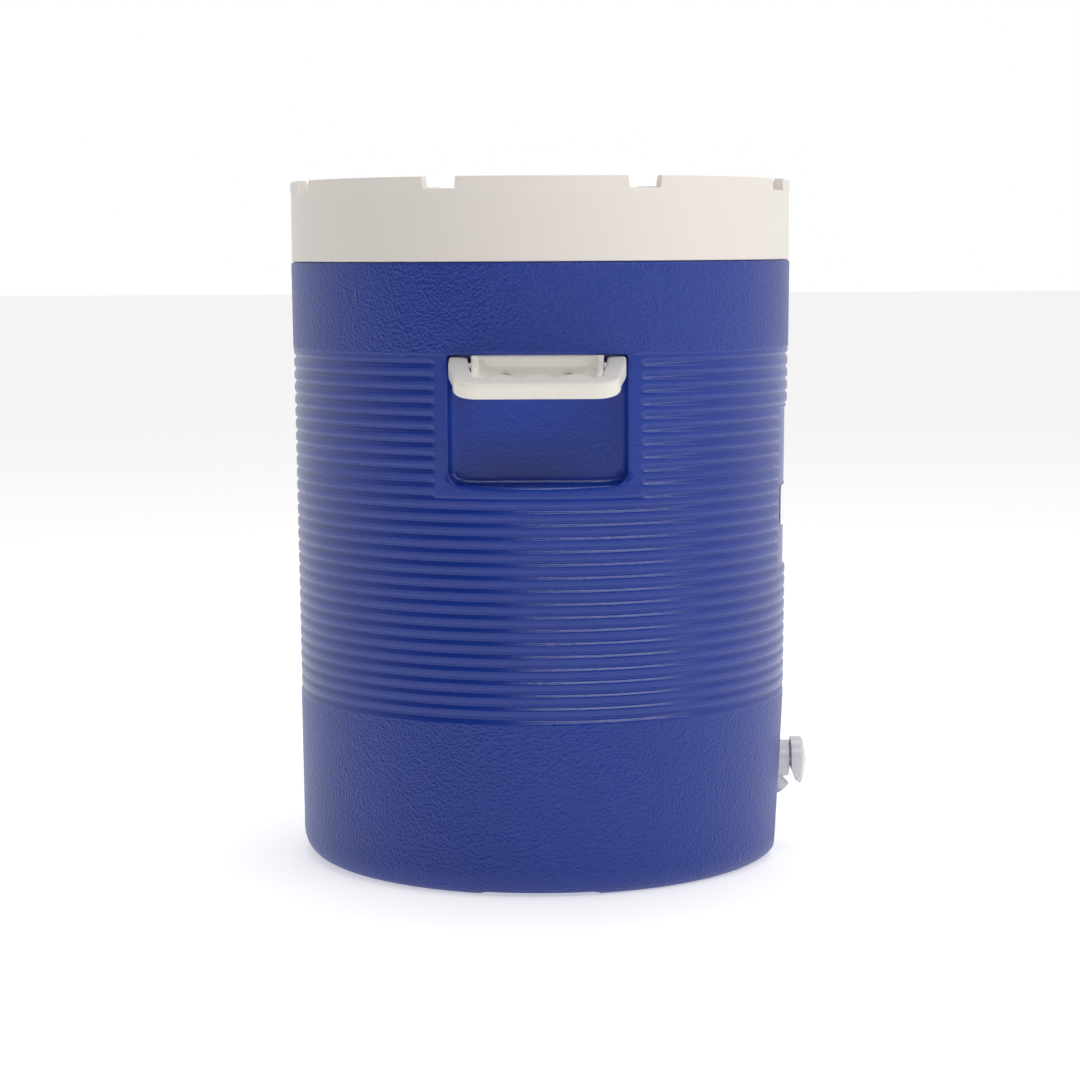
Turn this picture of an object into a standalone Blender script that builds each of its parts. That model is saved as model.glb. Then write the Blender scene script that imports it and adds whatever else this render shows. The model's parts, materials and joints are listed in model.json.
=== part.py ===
"""Insulated cylindrical drink cooler: screw lid, two swing handles and a push-button tap.

Metres, +Z up. The origin is the middle of the foot ring on the floor. The tap faces +X, the right
handle faces -Y and the left handle faces +Y.
"""

import math

import bmesh
import bpy
from mathutils import Vector

# Gaps and facets
GAP = 0.0003  # between pieces that touch
SIDES = 48  # facets round the body and the lid
SMALL_SIDES = 20  # facets round the tap and other small turned pieces
SPOUT_SIDES = 16
PIN_SIDES = 12
HOLE_SIDES = 8  # facets round a screw hole
PANEL_STEPS = 5  # facets across the label panel
OVERRUN = 0.02  # how far a cutter runs past what it cuts
JOIN_DEPTH = 0.001  # how far a feature reaches into the wall it is moulded on

# Body
BODY_HEIGHT = 0.506  # floor to the shoulder that the lid closes on
BODY_RADIUS = 0.2118  # outside, at the shoulder
DRAFT = 0.0096  # how much narrower the wall gets per metre down
SHELL_WALL = 0.0028
SHOULDER_THICKNESS = 0.003
SHOULDER_EDGE = 0.0025  # rounding of the shoulder's outer edge
FOOT_RADIUS = 0.190  # outer edge of the flat foot ring
FOOT_WIDTH = 0.012
FOOT_HOLLOW = 0.007  # how far the floor of the shell stands clear inside the foot ring
FOOT_ROUNDING = 0.021  # height of the rounded lower edge
FOOT_NOTCH_WIDTH = 0.092
FOOT_NOTCH_HEIGHT = 0.0028

# Rib band. The ribs are surface relief, so the solid stands at their crests.
RIB_PITCH = 0.01044
RIB_DEPTH = 0.0016
RIB_STEP = 0.0004  # plain bands stand this far outside the rib crests
TOP_RIB_DROP = 0.077  # shoulder to the highest crest
LOWEST_RIB = 0.147  # height of the lowest crest

# Label panel, a smooth patch among the ribs above the tap
PANEL_HALF_ANGLE = math.radians(17.3)
PANEL_BOTTOM = 0.2465
PANEL_TOP = 0.3825
LABEL_HALF_ANGLE = math.radians(13.5)
LABEL_BOTTOM = 0.283
LABEL_HEIGHT = 0.034
LABEL_THICKNESS = 0.0005

# Insulation and liner
SIDE_WALL = 0.0333  # outside of the body to the outside of the liner, at the shoulder
FLOOR_FOAM = 0.030
LINER_WALL = 0.0025
LINER_ROUNDING = 0.010  # inside, where the liner's floor meets its wall
NECK_HEIGHT = 0.035  # above the shoulder
NECK_INSET = 0.0148  # outside of the neck, in from the outside of the body
SHOULDER_OPENING = 0.0208  # edge of the shoulder's opening, in from the outside of the body
PLUG_RADIUS = 0.012  # hole in the floor that the foam is poured through
PLUG_FLANGE_RADIUS = 0.016
PLUG_FLANGE_THICKNESS = 0.002

# Lid
LID_HEIGHT = 0.0665
LID_INSET = 0.0006  # skirt, in from the outside of the body
RIM_FLARE = 0.0006  # the rim leans out by this much
RIM_HEIGHT = 0.012  # the rim above the sunk top
RIM_WIDTH = 0.0075
RIM_FLARE_HEIGHT = 0.0144  # the flare starts this far below the top
RIM_SLOPE = 0.002  # the rim's inner face leans in by this much
RIM_OUTER_EDGE = 0.0015
RIM_INNER_EDGE = 0.001
SKIRT_EDGE = 0.001
LID_WALL = 0.003
LID_FOAM = 0.0115
LID_LINER_PLAY = 0.002  # lid liner to the inside of the skirt
LID_LINER_RISE = 0.0015  # lower edge of the lid liner, above the shoulder
GRIP_NOTCHES = 8
NOTCH_WIDTH = 0.028
NOTCH_DEPTH = 0.010
GASKET_THICKNESS = 0.0019
GASKET_WIDTH = 0.014
GASKET_INSET = 0.001  # in from the outside of the neck

# Thread
THREAD_STARTS = 4
THREAD_LEAD = 0.030  # rise in one turn
THREAD_SWEEP = math.radians(97.5)  # how far round each neck thread runs
THREAD_HEIGHT = 0.003
THREAD_REACH = 0.003  # how far a neck thread stands out
THREAD_PLAY = 0.0022  # neck thread to the skirt of the lid liner
LUG_REACH = 0.0037  # how far a lid lug stands in
LUG_SWEEP = math.radians(15.0)
LUG_START = math.radians(52.5)  # where a lug sits along its neck thread when the lid is shut
THREAD_FOOT = 0.008  # foot of each neck thread's helix, above the shoulder
THREAD_BEGINS = math.radians(2.5)  # along its helix, clear of the corners of the wall's facets

# Handle recesses
RECESS_WIDTH = 0.141
RECESS_HEIGHT = 0.103
RECESS_DROP = 0.0725  # shoulder to the top of the recess
RECESS_CORNER = 0.012
RECESS_TOP_CORNER = 0.003
RECESS_BACK_FOAM = 0.0037  # foam between the recess and the liner
RECESS_BACK_ROUNDING = 0.010

# Handles
HANDLE_THICKNESS = 0.013
HANDLE_REACH = 0.062  # pivot to the outer edge of the bar
HANDLE_SIDE_PLAY = 0.0015  # handle to each side of the recess
ARM_WIDTH = 0.015
ARM_STRAIGHT = 0.0186  # pivot to where the arms start to lean in
BAR_WIDTH = 0.018
BAR_TAPER = 0.0045  # the arms lean in by this much at the bar
HANDLE_CORNER = 0.016
GRIP_CHAMFER = 0.006  # inner corners of the grip
BAR_EDGE = 0.003  # rounding of the bar
FINGER_BUMPS = 3
GRIP_FLAT = 0.0015  # between an outer bump and the chamfer at the grip's corner
BUMP_HEIGHT = 0.003
BUMP_GAP = 0.0028  # flat between two bumps
BUMP_STEPS = 4
PIVOT_DEPTH = 0.013  # pivot, out from the back of the recess
PIVOT_DROP = 0.008  # pivot, down from the top of the recess
HANDLE_DROOP = math.radians(17.3)  # below level, as the handle is held open
PIN_RADIUS = 0.003
PIN_CLEARANCE = 0.0003
PIN_HEAD_RADIUS = 0.0045
PIN_HEAD = 0.0025
PIN_IN_ARM = 0.013  # how far a pin goes into its arm

# Handle brackets
BRACKET_HEIGHT = 0.031
BRACKET_WALL = 0.003
BRACKET_FOOT = 0.006  # depth of an ear at its lower end
EAR_WIDTH = 0.0045
EAR_RADIUS = 0.0072
EAR_PLAY = 0.002  # ear to arm
SCREW_SPACING = 0.050
SCREW_RADIUS = 0.002
SCREW_HEAD_RADIUS = 0.004
SCREW_HEAD = 0.0022
SCREW_HEAD_TOP_RADIUS = 0.0032
SCREW_LENGTH = 0.0087  # head to tip
SCREW_POINT = 0.002
SCREW_TIP_PLAY = 0.001  # tip to the end of its hole
SCREW_DROP = 0.019  # below the top of the recess

# Tap
TAP_HEIGHT = 0.075
TAP_RECESS_WIDTH = 0.070
TAP_RECESS_HEIGHT = 0.082
TAP_RECESS_CORNER = 0.012
TAP_RECESS_EDGE = 0.003  # slope round the back of the recess, across
TAP_RECESS_EDGE_DEPTH = 0.004
TAP_BACK_FOAM = 0.0067
FLAT_TOP = 0.1435  # top of the flattened patch round the tap
FLAT_TOP_INSET = 0.0055  # in from the body radius at its top
FLAT_SLOPE = 0.0735
TAP_WASHER = 0.0014
INNER_WASHER_RADIUS = 0.0178
FLANGE_RADIUS = 0.0215
FLANGE_THICKNESS = 0.003
SHANK_RADIUS = 0.0095
SHANK_BORE = 0.0065
SHANK_INSIDE = 0.018  # how far the shank reaches into the liner
BARREL_RADIUS = 0.01575
BARREL_BORE = 0.0127
BARREL_LENGTH = 0.0205
BARREL_FLOOR = 0.0022  # flange face to the bottom of the barrel's bore
SPOUT_RADIUS = 0.0067
SPOUT_BORE = 0.0049
SPOUT_ANGLE = math.radians(49.0)  # below level
SPOUT_OUT = 0.0161  # middle of the spout's mouth, out from the flange face
SPOUT_DROP = 0.0266  # and below the tap's axis
SPOUT_ROOT = 0.022  # how far the spout runs back into the barrel
SPOUT_BORE_DEPTH = 0.0185
BOSS_RADIUS = 0.021
BOSS_HEIGHT = 0.003
NUT_THICKNESS = 0.0069
NUT_RADIUS = 0.0165
BONNET_THICKNESS = 0.004
STEM_RADIUS = 0.003
STEM_PLAY = 0.0004  # stem to the bonnet that guides it
STEM_HEAD_RADIUS = 0.005
STEM_HEAD = 0.0018
STEM_COLLAR = 0.0062
STEM_COLLAR_THICKNESS = 0.0015
SEAL_RADIUS = 0.0088
SEAL_BACK_RADIUS = 0.007
SEAL_THICKNESS = 0.0032
SPRING_RADIUS = 0.0046
SPRING_WIRE = 0.0005  # radius of the wire
SPRING_TURNS = 5
SPRING_POINTS = 10  # points in each turn
BUTTON_GAP = 0.0015  # barrel to button at rest
BUTTON_RADIUS = 0.0188
BUTTON_TAIL = 0.0225  # tip of the tail below the tap's axis
BUTTON_THICKNESS = 0.011
BUTTON_PLAY = 0.0006  # barrel to the inside of the button
BUTTON_WALL = 0.0025
BUTTON_DOME = 0.003
BUTTON_DOME_RADIUS = 0.013
BUTTON_TAIL_CUT = 0.0072  # height of the slope behind the tail
BUTTON_TAIL_CUT_DEPTH = 0.0095
BUTTON_TAIL_ROUNDING = 0.002
TAIL_LEAVES = 25  # degrees below level, where the tail leaves the disc
TAIL_TIP = 50  # degrees each side of straight down that the tip is round
PRESS = 0.005  # travel of the button

# Worked out from the sizes above
LINER_OUTSIDE = BODY_RADIUS - SIDE_WALL
LINER_INSIDE = LINER_OUTSIDE - LINER_WALL
NECK_RADIUS = BODY_RADIUS - NECK_INSET
OPENING_RADIUS = BODY_RADIUS - SHOULDER_OPENING
SHELL_FLOOR = FOOT_HOLLOW + SHELL_WALL
LINER_BOTTOM = SHELL_FLOOR + FLOOR_FOAM + GAP
NECK_TOP = BODY_HEIGHT + NECK_HEIGHT
LID_RADIUS = BODY_RADIUS - LID_INSET
LID_BOTTOM = BODY_HEIGHT + GAP
LID_TOP = LID_BOTTOM + LID_HEIGHT
LID_DECK = LID_TOP - RIM_HEIGHT
LID_FOAM_TOP = LID_DECK - LID_WALL - GAP
LID_PLATE_TOP = LID_FOAM_TOP - LID_FOAM - GAP
GASKET_BOTTOM = NECK_TOP + GAP
LID_PLATE_BOTTOM = GASKET_BOTTOM + GASKET_THICKNESS + GAP
LID_LINER_RADIUS = LID_RADIUS - LID_WALL - LID_LINER_PLAY
LUG_WALL = NECK_RADIUS + THREAD_REACH + THREAD_PLAY  # inside of the lid liner's skirt
RECESS_BACK = LINER_OUTSIDE + RECESS_BACK_FOAM + SHELL_WALL
RECESS_TOP = BODY_HEIGHT - RECESS_DROP
RECESS_BOTTOM = RECESS_TOP - RECESS_HEIGHT
PIVOT_OUT = RECESS_BACK + PIVOT_DEPTH
PIVOT_HEIGHT = RECESS_TOP - PIVOT_DROP
ARM_OUTSIDE = RECESS_WIDTH / 2 - HANDLE_SIDE_PLAY
ARM_INSIDE = ARM_OUTSIDE - ARM_WIDTH
GRIP_HALF = ARM_INSIDE - BAR_TAPER  # half the width of the hand opening, at the bar
BUMP_SPACING = 2 * (GRIP_HALF - GRIP_CHAMFER - GRIP_FLAT) / FINGER_BUMPS
EAR_OUTSIDE = ARM_INSIDE - EAR_PLAY
EAR_INSIDE = EAR_OUTSIDE - EAR_WIDTH
TAP_SEAT = LINER_OUTSIDE + TAP_BACK_FOAM + SHELL_WALL
FLANGE_BACK = TAP_SEAT + 2 * GAP + TAP_WASHER
FLANGE_FACE = FLANGE_BACK + FLANGE_THICKNESS
BARREL_END = FLANGE_FACE + BARREL_LENGTH
SHANK_END = LINER_INSIDE - SHANK_INSIDE
BOSS_FACE = LINER_INSIDE - BOSS_HEIGHT
BUTTON_BACK = BARREL_END + BUTTON_GAP
HOLE_CLEARANCE = GAP
SCREW_PLACES = (-SCREW_SPACING / 2, SCREW_SPACING / 2)
SCREW_HOLE_DEPTH = SCREW_LENGTH - BRACKET_WALL - 2 * GAP + SCREW_TIP_PLAY  # behind the recess

BODY_SIDES = (("right", -1), ("left", 1))
PLANES = {"XY": (0, 1, 2), "XZ": (0, 2, 1), "YZ": (1, 2, 0)}


# ---------------------------------------------------------------------------- making shapes


def finish(name, bm, material=None):
    """Turn a bmesh into a smooth-shaded object with its faces outwards."""
    bmesh.ops.recalc_face_normals(bm, faces=bm.faces)
    mesh = bpy.data.meshes.new(name)
    bm.to_mesh(mesh)
    bm.free()
    mesh.shade_smooth()
    mesh.set_sharp_from_angle(angle=math.radians(30))
    thing = bpy.data.objects.new(name, mesh)
    if material:
        mesh.materials.append(material)
    bpy.context.scene.collection.objects.link(thing)
    return thing


def turned(name, outline, material=None, sides=SIDES):
    """Spin (radius, height) points about Z. An outline that starts and ends on the axis is left open."""
    bm = bmesh.new()
    verts = [bm.verts.new((radius, 0.0, height)) for radius, height in outline]
    edges = [bm.edges.new(pair) for pair in zip(verts, verts[1:])]
    if outline[0][0] > 0.0 or outline[-1][0] > 0.0:
        edges.append(bm.edges.new((verts[-1], verts[0])))
    bmesh.ops.spin(
        bm, geom=verts + edges, cent=(0, 0, 0), axis=(0, 0, 1), angle=2 * math.pi, steps=sides
    )
    bmesh.ops.remove_doubles(bm, verts=bm.verts, dist=1e-6)
    return finish(name, bm, material)


def turned_along_x(name, outline, material=None, sides=SMALL_SIDES):
    """Spin (radius, x) points about the tap's axis."""
    thing = turned(name, outline, material, sides)
    thing.rotation_euler = (0.0, math.pi / 2, 0.0)
    thing.location = (0.0, 0.0, TAP_HEIGHT)
    return thing


def prism(name, outline, plane, low, high, material=None):
    """Extrude a flat outline from low to high, square to its plane."""
    first, second, along = PLANES[plane]
    bm = bmesh.new()
    ring = []
    for a, b in outline:
        place = [0.0, 0.0, 0.0]
        place[first] = a
        place[second] = b
        place[along] = low
        ring.append(bm.verts.new(place))
    base = bm.faces.new(ring)
    grown = bmesh.ops.extrude_face_region(bm, geom=[base])
    moved = [item for item in grown["geom"] if isinstance(item, bmesh.types.BMVert)]
    offset = [0.0, 0.0, 0.0]
    offset[along] = high - low
    bmesh.ops.translate(bm, vec=offset, verts=moved)
    return finish(name, bm, material)


def add_loft(bm, rings):
    """Join rings of equal length into a tube with closed ends."""
    made = [[bm.verts.new(point) for point in ring] for ring in rings]
    for lower, upper in zip(made, made[1:]):
        for index in range(len(lower)):
            after = (index + 1) % len(lower)
            bm.faces.new((lower[index], lower[after], upper[after], upper[index]))
    bm.faces.new(made[0])
    bm.faces.new(made[-1])


def loft(name, rings, material=None):
    bm = bmesh.new()
    add_loft(bm, rings)
    return finish(name, bm, material)


def boolean(target, tool, operation, solver="EXACT"):
    """Add or take away a tool, which stays in the scene as a guide."""
    tool.hide_render = True
    tool.display_type = "WIRE"
    modifier = target.modifiers.new(tool.name, "BOOLEAN")
    modifier.operation = operation
    modifier.solver = solver
    modifier.object = tool


def cut(target, *tools, solver="EXACT"):
    for tool in tools:
        boolean(target, tool, "DIFFERENCE", solver)


def join(target, *tools, solver="EXACT"):
    for tool in tools:
        boolean(target, tool, "UNION", solver)


def arc(centre, radius, start, end, steps):
    """Points on an arc, in degrees, both ends included."""
    points = []
    for step in range(steps + 1):
        angle = math.radians(start + (end - start) * step / steps)
        points.append((centre[0] + radius * math.cos(angle), centre[1] + radius * math.sin(angle)))
    return points


def circle(centre, radius, sides):
    """Points round a circle, for a hole or a nut."""
    return arc(centre, radius, 0, 360 - 360 / sides, sides - 1)


def rounded_box(low, high, corner, top_corner, steps=3):
    """Outline of a rectangle with round corners."""
    (left, bottom), (right, top) = low, high
    return (
        arc((right - top_corner, top - top_corner), top_corner, 0, 90, steps)
        + arc((left + top_corner, top - top_corner), top_corner, 90, 180, steps)
        + arc((left + corner, bottom + corner), corner, 180, 270, steps)
        + arc((right - corner, bottom + corner), corner, 270, 360, steps)
    )


def sector(name, radii, heights, half_angle, steps, material=None):
    """A block between two radii, round the +X side. radii holds (inner, outer) for each height."""
    rings = []
    for step in range(steps + 1):
        angle = half_angle * (2 * step / steps - 1)
        direction = Vector((math.cos(angle), math.sin(angle), 0.0))
        (low_in, low_out), (high_in, high_out) = radii
        ring = [
            direction * low_in + Vector((0, 0, heights[0])),
            direction * low_out + Vector((0, 0, heights[0])),
            direction * high_out + Vector((0, 0, heights[1])),
            direction * high_in + Vector((0, 0, heights[1])),
        ]
        rings.append(ring)
    return loft(name, rings, material)


def plastic(name, colour, roughness, metallic=0.0):
    material = bpy.data.materials.new(name)
    material.use_nodes = True
    shader = material.node_tree.nodes["Principled BSDF"]
    shader.inputs["Base Color"].default_value = (*colour, 1.0)
    shader.inputs["Roughness"].default_value = roughness
    shader.inputs["Metallic"].default_value = metallic
    return material


def blue(name):
    return plastic(name, (0.022, 0.046, 0.29), 0.38)


def white(name):
    return plastic(name, (0.80, 0.79, 0.76), 0.4)


def rubber(name):
    return plastic(name, (0.62, 0.61, 0.58), 0.7)


def steel(name):
    return plastic(name, (0.56, 0.57, 0.58), 0.3, 1.0)


def foam(name):
    return plastic(name, (0.78, 0.66, 0.40), 0.9)


def axis_empty(name, place, turn=0.0):
    """An empty on a joint's axis, which carries the moving pieces."""
    empty = bpy.data.objects.new(name, None)
    empty.location = place
    empty.rotation_euler = (0.0, 0.0, turn)
    bpy.context.scene.collection.objects.link(empty)
    return empty


# ---------------------------------------------------------------------------- body


def wall_radius(height):
    """Outside of the plain wall, with its draft."""
    return BODY_RADIUS - DRAFT * (BODY_HEIGHT - height)


def foot_points():
    """The foot ring and the rounded edge above it."""
    points = [
        (0.0, FOOT_HOLLOW),
        (FOOT_RADIUS - FOOT_WIDTH - FOOT_HOLLOW, FOOT_HOLLOW),
        (FOOT_RADIUS - FOOT_WIDTH, 0.0),
        (FOOT_RADIUS, 0.0),
    ]
    side = wall_radius(FOOT_ROUNDING)
    for step in range(1, 5):
        angle = math.pi / 2 * step / 4
        radius = FOOT_RADIUS + (side - FOOT_RADIUS) * math.sin(angle)
        points.append((radius, FOOT_ROUNDING * (1 - math.cos(angle))))
    return points


def band_points():
    """The ribbed band at the height of its crests, between the two plain bands."""
    low = LOWEST_RIB - RIB_PITCH / 2
    high = BODY_HEIGHT - TOP_RIB_DROP + RIB_PITCH / 2
    return [
        (wall_radius(low), low),
        (wall_radius(low + RIB_STEP) - RIB_STEP, low + RIB_STEP),
        (wall_radius(high - RIB_STEP) - RIB_STEP, high - RIB_STEP),
        (wall_radius(high), high),
    ]


def shell_space(inset):
    """The hollow of the shell, made smaller by an inset for the foam that fills it."""
    inside = RIB_STEP + RIB_DEPTH + SHELL_WALL + inset
    ceiling = BODY_HEIGHT - SHOULDER_THICKNESS - inset
    floor = SHELL_FLOOR + inset
    bend = floor + FOOT_ROUNDING - 1.5 * SHELL_WALL
    neck = OPENING_RADIUS - inset
    outline = [
        (0.0, floor),
        (FOOT_RADIUS - SHELL_WALL * 2 - inset, floor),
        (wall_radius(bend) - inside, bend),
        (wall_radius(ceiling) - inside, ceiling),
        (neck, ceiling),
    ]
    return outline, neck


def recess_tool(name, side, grow):
    """The space of a handle recess. Grown by a wall it is the block that the shell wraps.

    The rounding at its bottom is half as high as the one at its sides is wide.
    """
    steps = [(BODY_RADIUS + OVERRUN, 0.0)]
    steps += [
        (RECESS_BACK + out, RECESS_BACK_ROUNDING + inset)
        for inset, out in arc((0.0, RECESS_BACK_ROUNDING), RECESS_BACK_ROUNDING, 180, 270, 4)
    ]
    rings = []
    for out, inset in steps:
        half = RECESS_WIDTH / 2 - inset + grow
        low = (-half, RECESS_BOTTOM + inset / 2 - grow)
        high = (half, RECESS_TOP + grow)
        outline = rounded_box(low, high, RECESS_CORNER, RECESS_TOP_CORNER)
        rings.append([Vector((x, side * (out - grow), z)) for x, z in outline])
    return loft(name, rings)


def tap_recess_tool(name, grow):
    """The pocket that the tap sits in."""
    steps = (
        (BODY_RADIUS + OVERRUN, 0.0),
        (TAP_SEAT + TAP_RECESS_EDGE_DEPTH, 0.0),
        (TAP_SEAT, TAP_RECESS_EDGE),
    )
    rings = []
    for out, inset in steps:
        half = TAP_RECESS_WIDTH / 2 - inset + grow
        rise = TAP_RECESS_HEIGHT / 2 - inset + grow
        low = (-half, TAP_HEIGHT - rise)
        outline = rounded_box(low, (half, TAP_HEIGHT + rise), TAP_RECESS_CORNER, TAP_RECESS_CORNER)
        rings.append([Vector((out - grow, y, z)) for y, z in outline])
    return loft(name, rings)


def tap_flat_tool(name, grow):
    """Everything outside the sloping flat round the tap."""
    top = BODY_RADIUS - FLAT_TOP_INSET - grow
    below = -OVERRUN
    outline = [
        (top, FLAT_TOP + grow),
        (top - FLAT_SLOPE * (FLAT_TOP - below), below),
        (BODY_RADIUS + OVERRUN, below),
        (BODY_RADIUS + OVERRUN, FLAT_TOP + grow),
    ]
    return prism(name, outline, "XZ", -BODY_RADIUS, BODY_RADIUS)


def wall_blocks(prefix, grow):
    """What the recesses and the tap's flat take out of the hollow of the shell."""
    return (
        *(recess_tool(f"{prefix}_{name}_recess", side, grow) for name, side in BODY_SIDES),
        tap_recess_tool(prefix + "_tap_recess", grow),
        tap_flat_tool(prefix + "_tap_flat", grow),
    )


def screw_hole_tools(prefix):
    """Holes for the bracket screws, from the recess to the foam."""
    radius = SCREW_RADIUS + HOLE_CLEARANCE
    tools = []
    for side_name, side in BODY_SIDES:
        ends = sorted((side * (RECESS_BACK - SCREW_HOLE_DEPTH), side * (RECESS_BACK + OVERRUN)))
        for index, x in enumerate(SCREW_PLACES):
            hole = circle((x, RECESS_TOP - SCREW_DROP), radius, HOLE_SIDES)
            name = f"{prefix}_{side_name}_screw_hole_{index}"
            tools.append(prism(name, hole, "XZ", *ends))
    return tools


def tap_hole_tool():
    """The way through the wall for the tap's shank."""
    outline = [
        (0.0, SHANK_END - OVERRUN),
        (SHANK_RADIUS + HOLE_CLEARANCE, SHANK_END - OVERRUN),
        (SHANK_RADIUS + HOLE_CLEARANCE, FLANGE_BACK),
        (0.0, FLANGE_BACK),
    ]
    return turned_along_x("tap_hole_tool", outline)


def notch_tools():
    """Finger notches in the foot ring under the handles."""
    half = FOOT_NOTCH_WIDTH / 2
    inner = FOOT_RADIUS - 2 * FOOT_WIDTH
    tools = []
    for side_name, side in BODY_SIDES:
        outline = [
            (-half - OVERRUN, -OVERRUN),
            (half + OVERRUN, -OVERRUN),
            (half - FOOT_NOTCH_HEIGHT, FOOT_NOTCH_HEIGHT),
            (-half + FOOT_NOTCH_HEIGHT, FOOT_NOTCH_HEIGHT),
        ]
        ends = sorted((side * inner, side * (BODY_RADIUS + OVERRUN)))
        tools.append(prism(side_name + "_foot_notch_tool", outline, "XZ", *ends))
    return tools


def outer_shell(tap_hole):
    """The blow-moulded body, with its floor, foot ring, rib band, recesses and shoulder."""
    edge = SHOULDER_EDGE
    outline = foot_points() + band_points()
    outline += arc((BODY_RADIUS - edge, BODY_HEIGHT - edge), edge, 0, 90, 2)
    outline.append((0.0, BODY_HEIGHT))
    shell = turned("outer_shell", outline, blue("shell_blue"))
    points, neck = shell_space(0.0)
    space = turned("shell_space", points + [(neck, BODY_HEIGHT + OVERRUN), (0.0, BODY_HEIGHT + OVERRUN)])
    cut(space, *wall_blocks("space", SHELL_WALL))
    crest_drop = RIB_STEP + RIB_DEPTH
    panel = sector(
        "label_panel_tool",
        (
            (wall_radius(PANEL_BOTTOM) - crest_drop, BODY_RADIUS + OVERRUN),
            (wall_radius(PANEL_TOP) - crest_drop, BODY_RADIUS + OVERRUN),
        ),
        (PANEL_BOTTOM, PANEL_TOP),
        PANEL_HALF_ANGLE,
        PANEL_STEPS,
    )
    above = SHELL_FLOOR + OVERRUN
    filler_points = [(0.0, 0.0), (PLUG_RADIUS, 0.0), (PLUG_RADIUS, above), (0.0, above)]
    filler = turned("filler_hole_tool", filler_points, sides=SMALL_SIDES)
    cut(shell, space, *wall_blocks("shell", 0.0))
    cut(shell, panel, filler, tap_hole, *notch_tools(), *screw_hole_tools("shell"))


def foam_plug():
    """Closes the hole that the foam is poured through."""
    radius = PLUG_RADIUS - GAP
    flange_top = FOOT_HOLLOW - GAP
    outline = [
        (0.0, flange_top - PLUG_FLANGE_THICKNESS),
        (PLUG_FLANGE_RADIUS, flange_top - PLUG_FLANGE_THICKNESS),
        (PLUG_FLANGE_RADIUS, flange_top),
        (radius, flange_top),
        (radius, SHELL_FLOOR),
        (0.0, SHELL_FLOOR),
    ]
    turned("foam_plug", outline, blue("plug_blue"), SMALL_SIDES)


def insulation_foam(tap_hole):
    """The foam poured between the shell and the liner, up into the neck."""
    points, neck = shell_space(GAP)
    inside_neck = NECK_RADIUS - LINER_WALL - GAP
    top = NECK_TOP - LINER_WALL - GAP
    points += [
        (neck, BODY_HEIGHT + 3 * GAP),
        (inside_neck, BODY_HEIGHT + 3 * GAP),
        (inside_neck, top),
        (0.0, top),
    ]
    body = turned("insulation_foam", points, foam("poured_foam"))
    corner = LINER_ROUNDING + LINER_WALL
    space = turned(
        "liner_space",
        [
            (0.0, LINER_BOTTOM - GAP),
            (LINER_OUTSIDE - corner, LINER_BOTTOM - GAP),
            (LINER_OUTSIDE + GAP, LINER_BOTTOM + corner),
            (LINER_OUTSIDE + GAP, NECK_TOP + OVERRUN),
            (0.0, NECK_TOP + OVERRUN),
        ],
    )
    blocks = wall_blocks("foam", SHELL_WALL + GAP)
    cut(body, *blocks, space, tap_hole, *screw_hole_tools("foam"), solver="MANIFOLD")


def add_thread(bm, inner, outer, height, start, sweep, low):
    """One helical ridge of a thread. Its sections stand on the body's facets."""
    steps = max(1, round(math.degrees(sweep) / (360 / SIDES)))
    rings = []
    for step in range(steps + 1):
        turn = sweep * step / steps
        angle = start + turn
        middle = low + THREAD_LEAD * turn / (2 * math.pi)
        direction = Vector((math.cos(angle), math.sin(angle), 0.0))
        near, far = height / 2, height / 3
        ring = [
            direction * inner + Vector((0, 0, middle - near)),
            direction * outer + Vector((0, 0, middle - far)),
            direction * outer + Vector((0, 0, middle + far)),
            direction * inner + Vector((0, 0, middle + near)),
        ]
        rings.append(ring)
    add_loft(bm, rings)


def neck_threads():
    bm = bmesh.new()
    inner = NECK_RADIUS - LINER_WALL / 3
    outer = NECK_RADIUS + THREAD_REACH
    low = BODY_HEIGHT + THREAD_FOOT + THREAD_LEAD * THREAD_BEGINS / (2 * math.pi)
    for start in range(THREAD_STARTS):
        angle = 2 * math.pi * start / THREAD_STARTS + THREAD_BEGINS
        add_thread(bm, inner, outer, THREAD_HEIGHT, angle, THREAD_SWEEP, low)
    return finish("neck_threads", bm)


def inner_liner(tap_hole):
    """The white tub that holds the drink, with its neck turned over the shoulder."""
    corner = LINER_ROUNDING
    floor = LINER_BOTTOM + LINER_WALL
    under = NECK_TOP - LINER_WALL
    outline = [(0.0, floor)]
    outline += arc((LINER_INSIDE - corner, floor + corner), corner, -90, 0, 2)
    outline += [
        (LINER_INSIDE, NECK_TOP),
        (NECK_RADIUS, NECK_TOP),
        (NECK_RADIUS, BODY_HEIGHT + GAP),
        (NECK_RADIUS - LINER_WALL, BODY_HEIGHT + GAP),
        (NECK_RADIUS - LINER_WALL, under),
        (LINER_OUTSIDE, under),
        (LINER_OUTSIDE, LINER_BOTTOM + corner + LINER_WALL),
        (LINER_OUTSIDE - corner - LINER_WALL, LINER_BOTTOM),
        (0.0, LINER_BOTTOM),
    ]
    liner = turned("inner_liner", outline, white("liner_white"))
    boss = turned_along_x(
        "tap_boss",
        [
            (0.0, BOSS_FACE),
            (BOSS_RADIUS, BOSS_FACE),
            (BOSS_RADIUS, LINER_INSIDE + LINER_WALL / 5),
            (0.0, LINER_INSIDE + LINER_WALL / 5),
        ],
    )
    join(liner, neck_threads(), boss, solver="MANIFOLD")
    cut(liner, tap_hole, solver="MANIFOLD")


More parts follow.
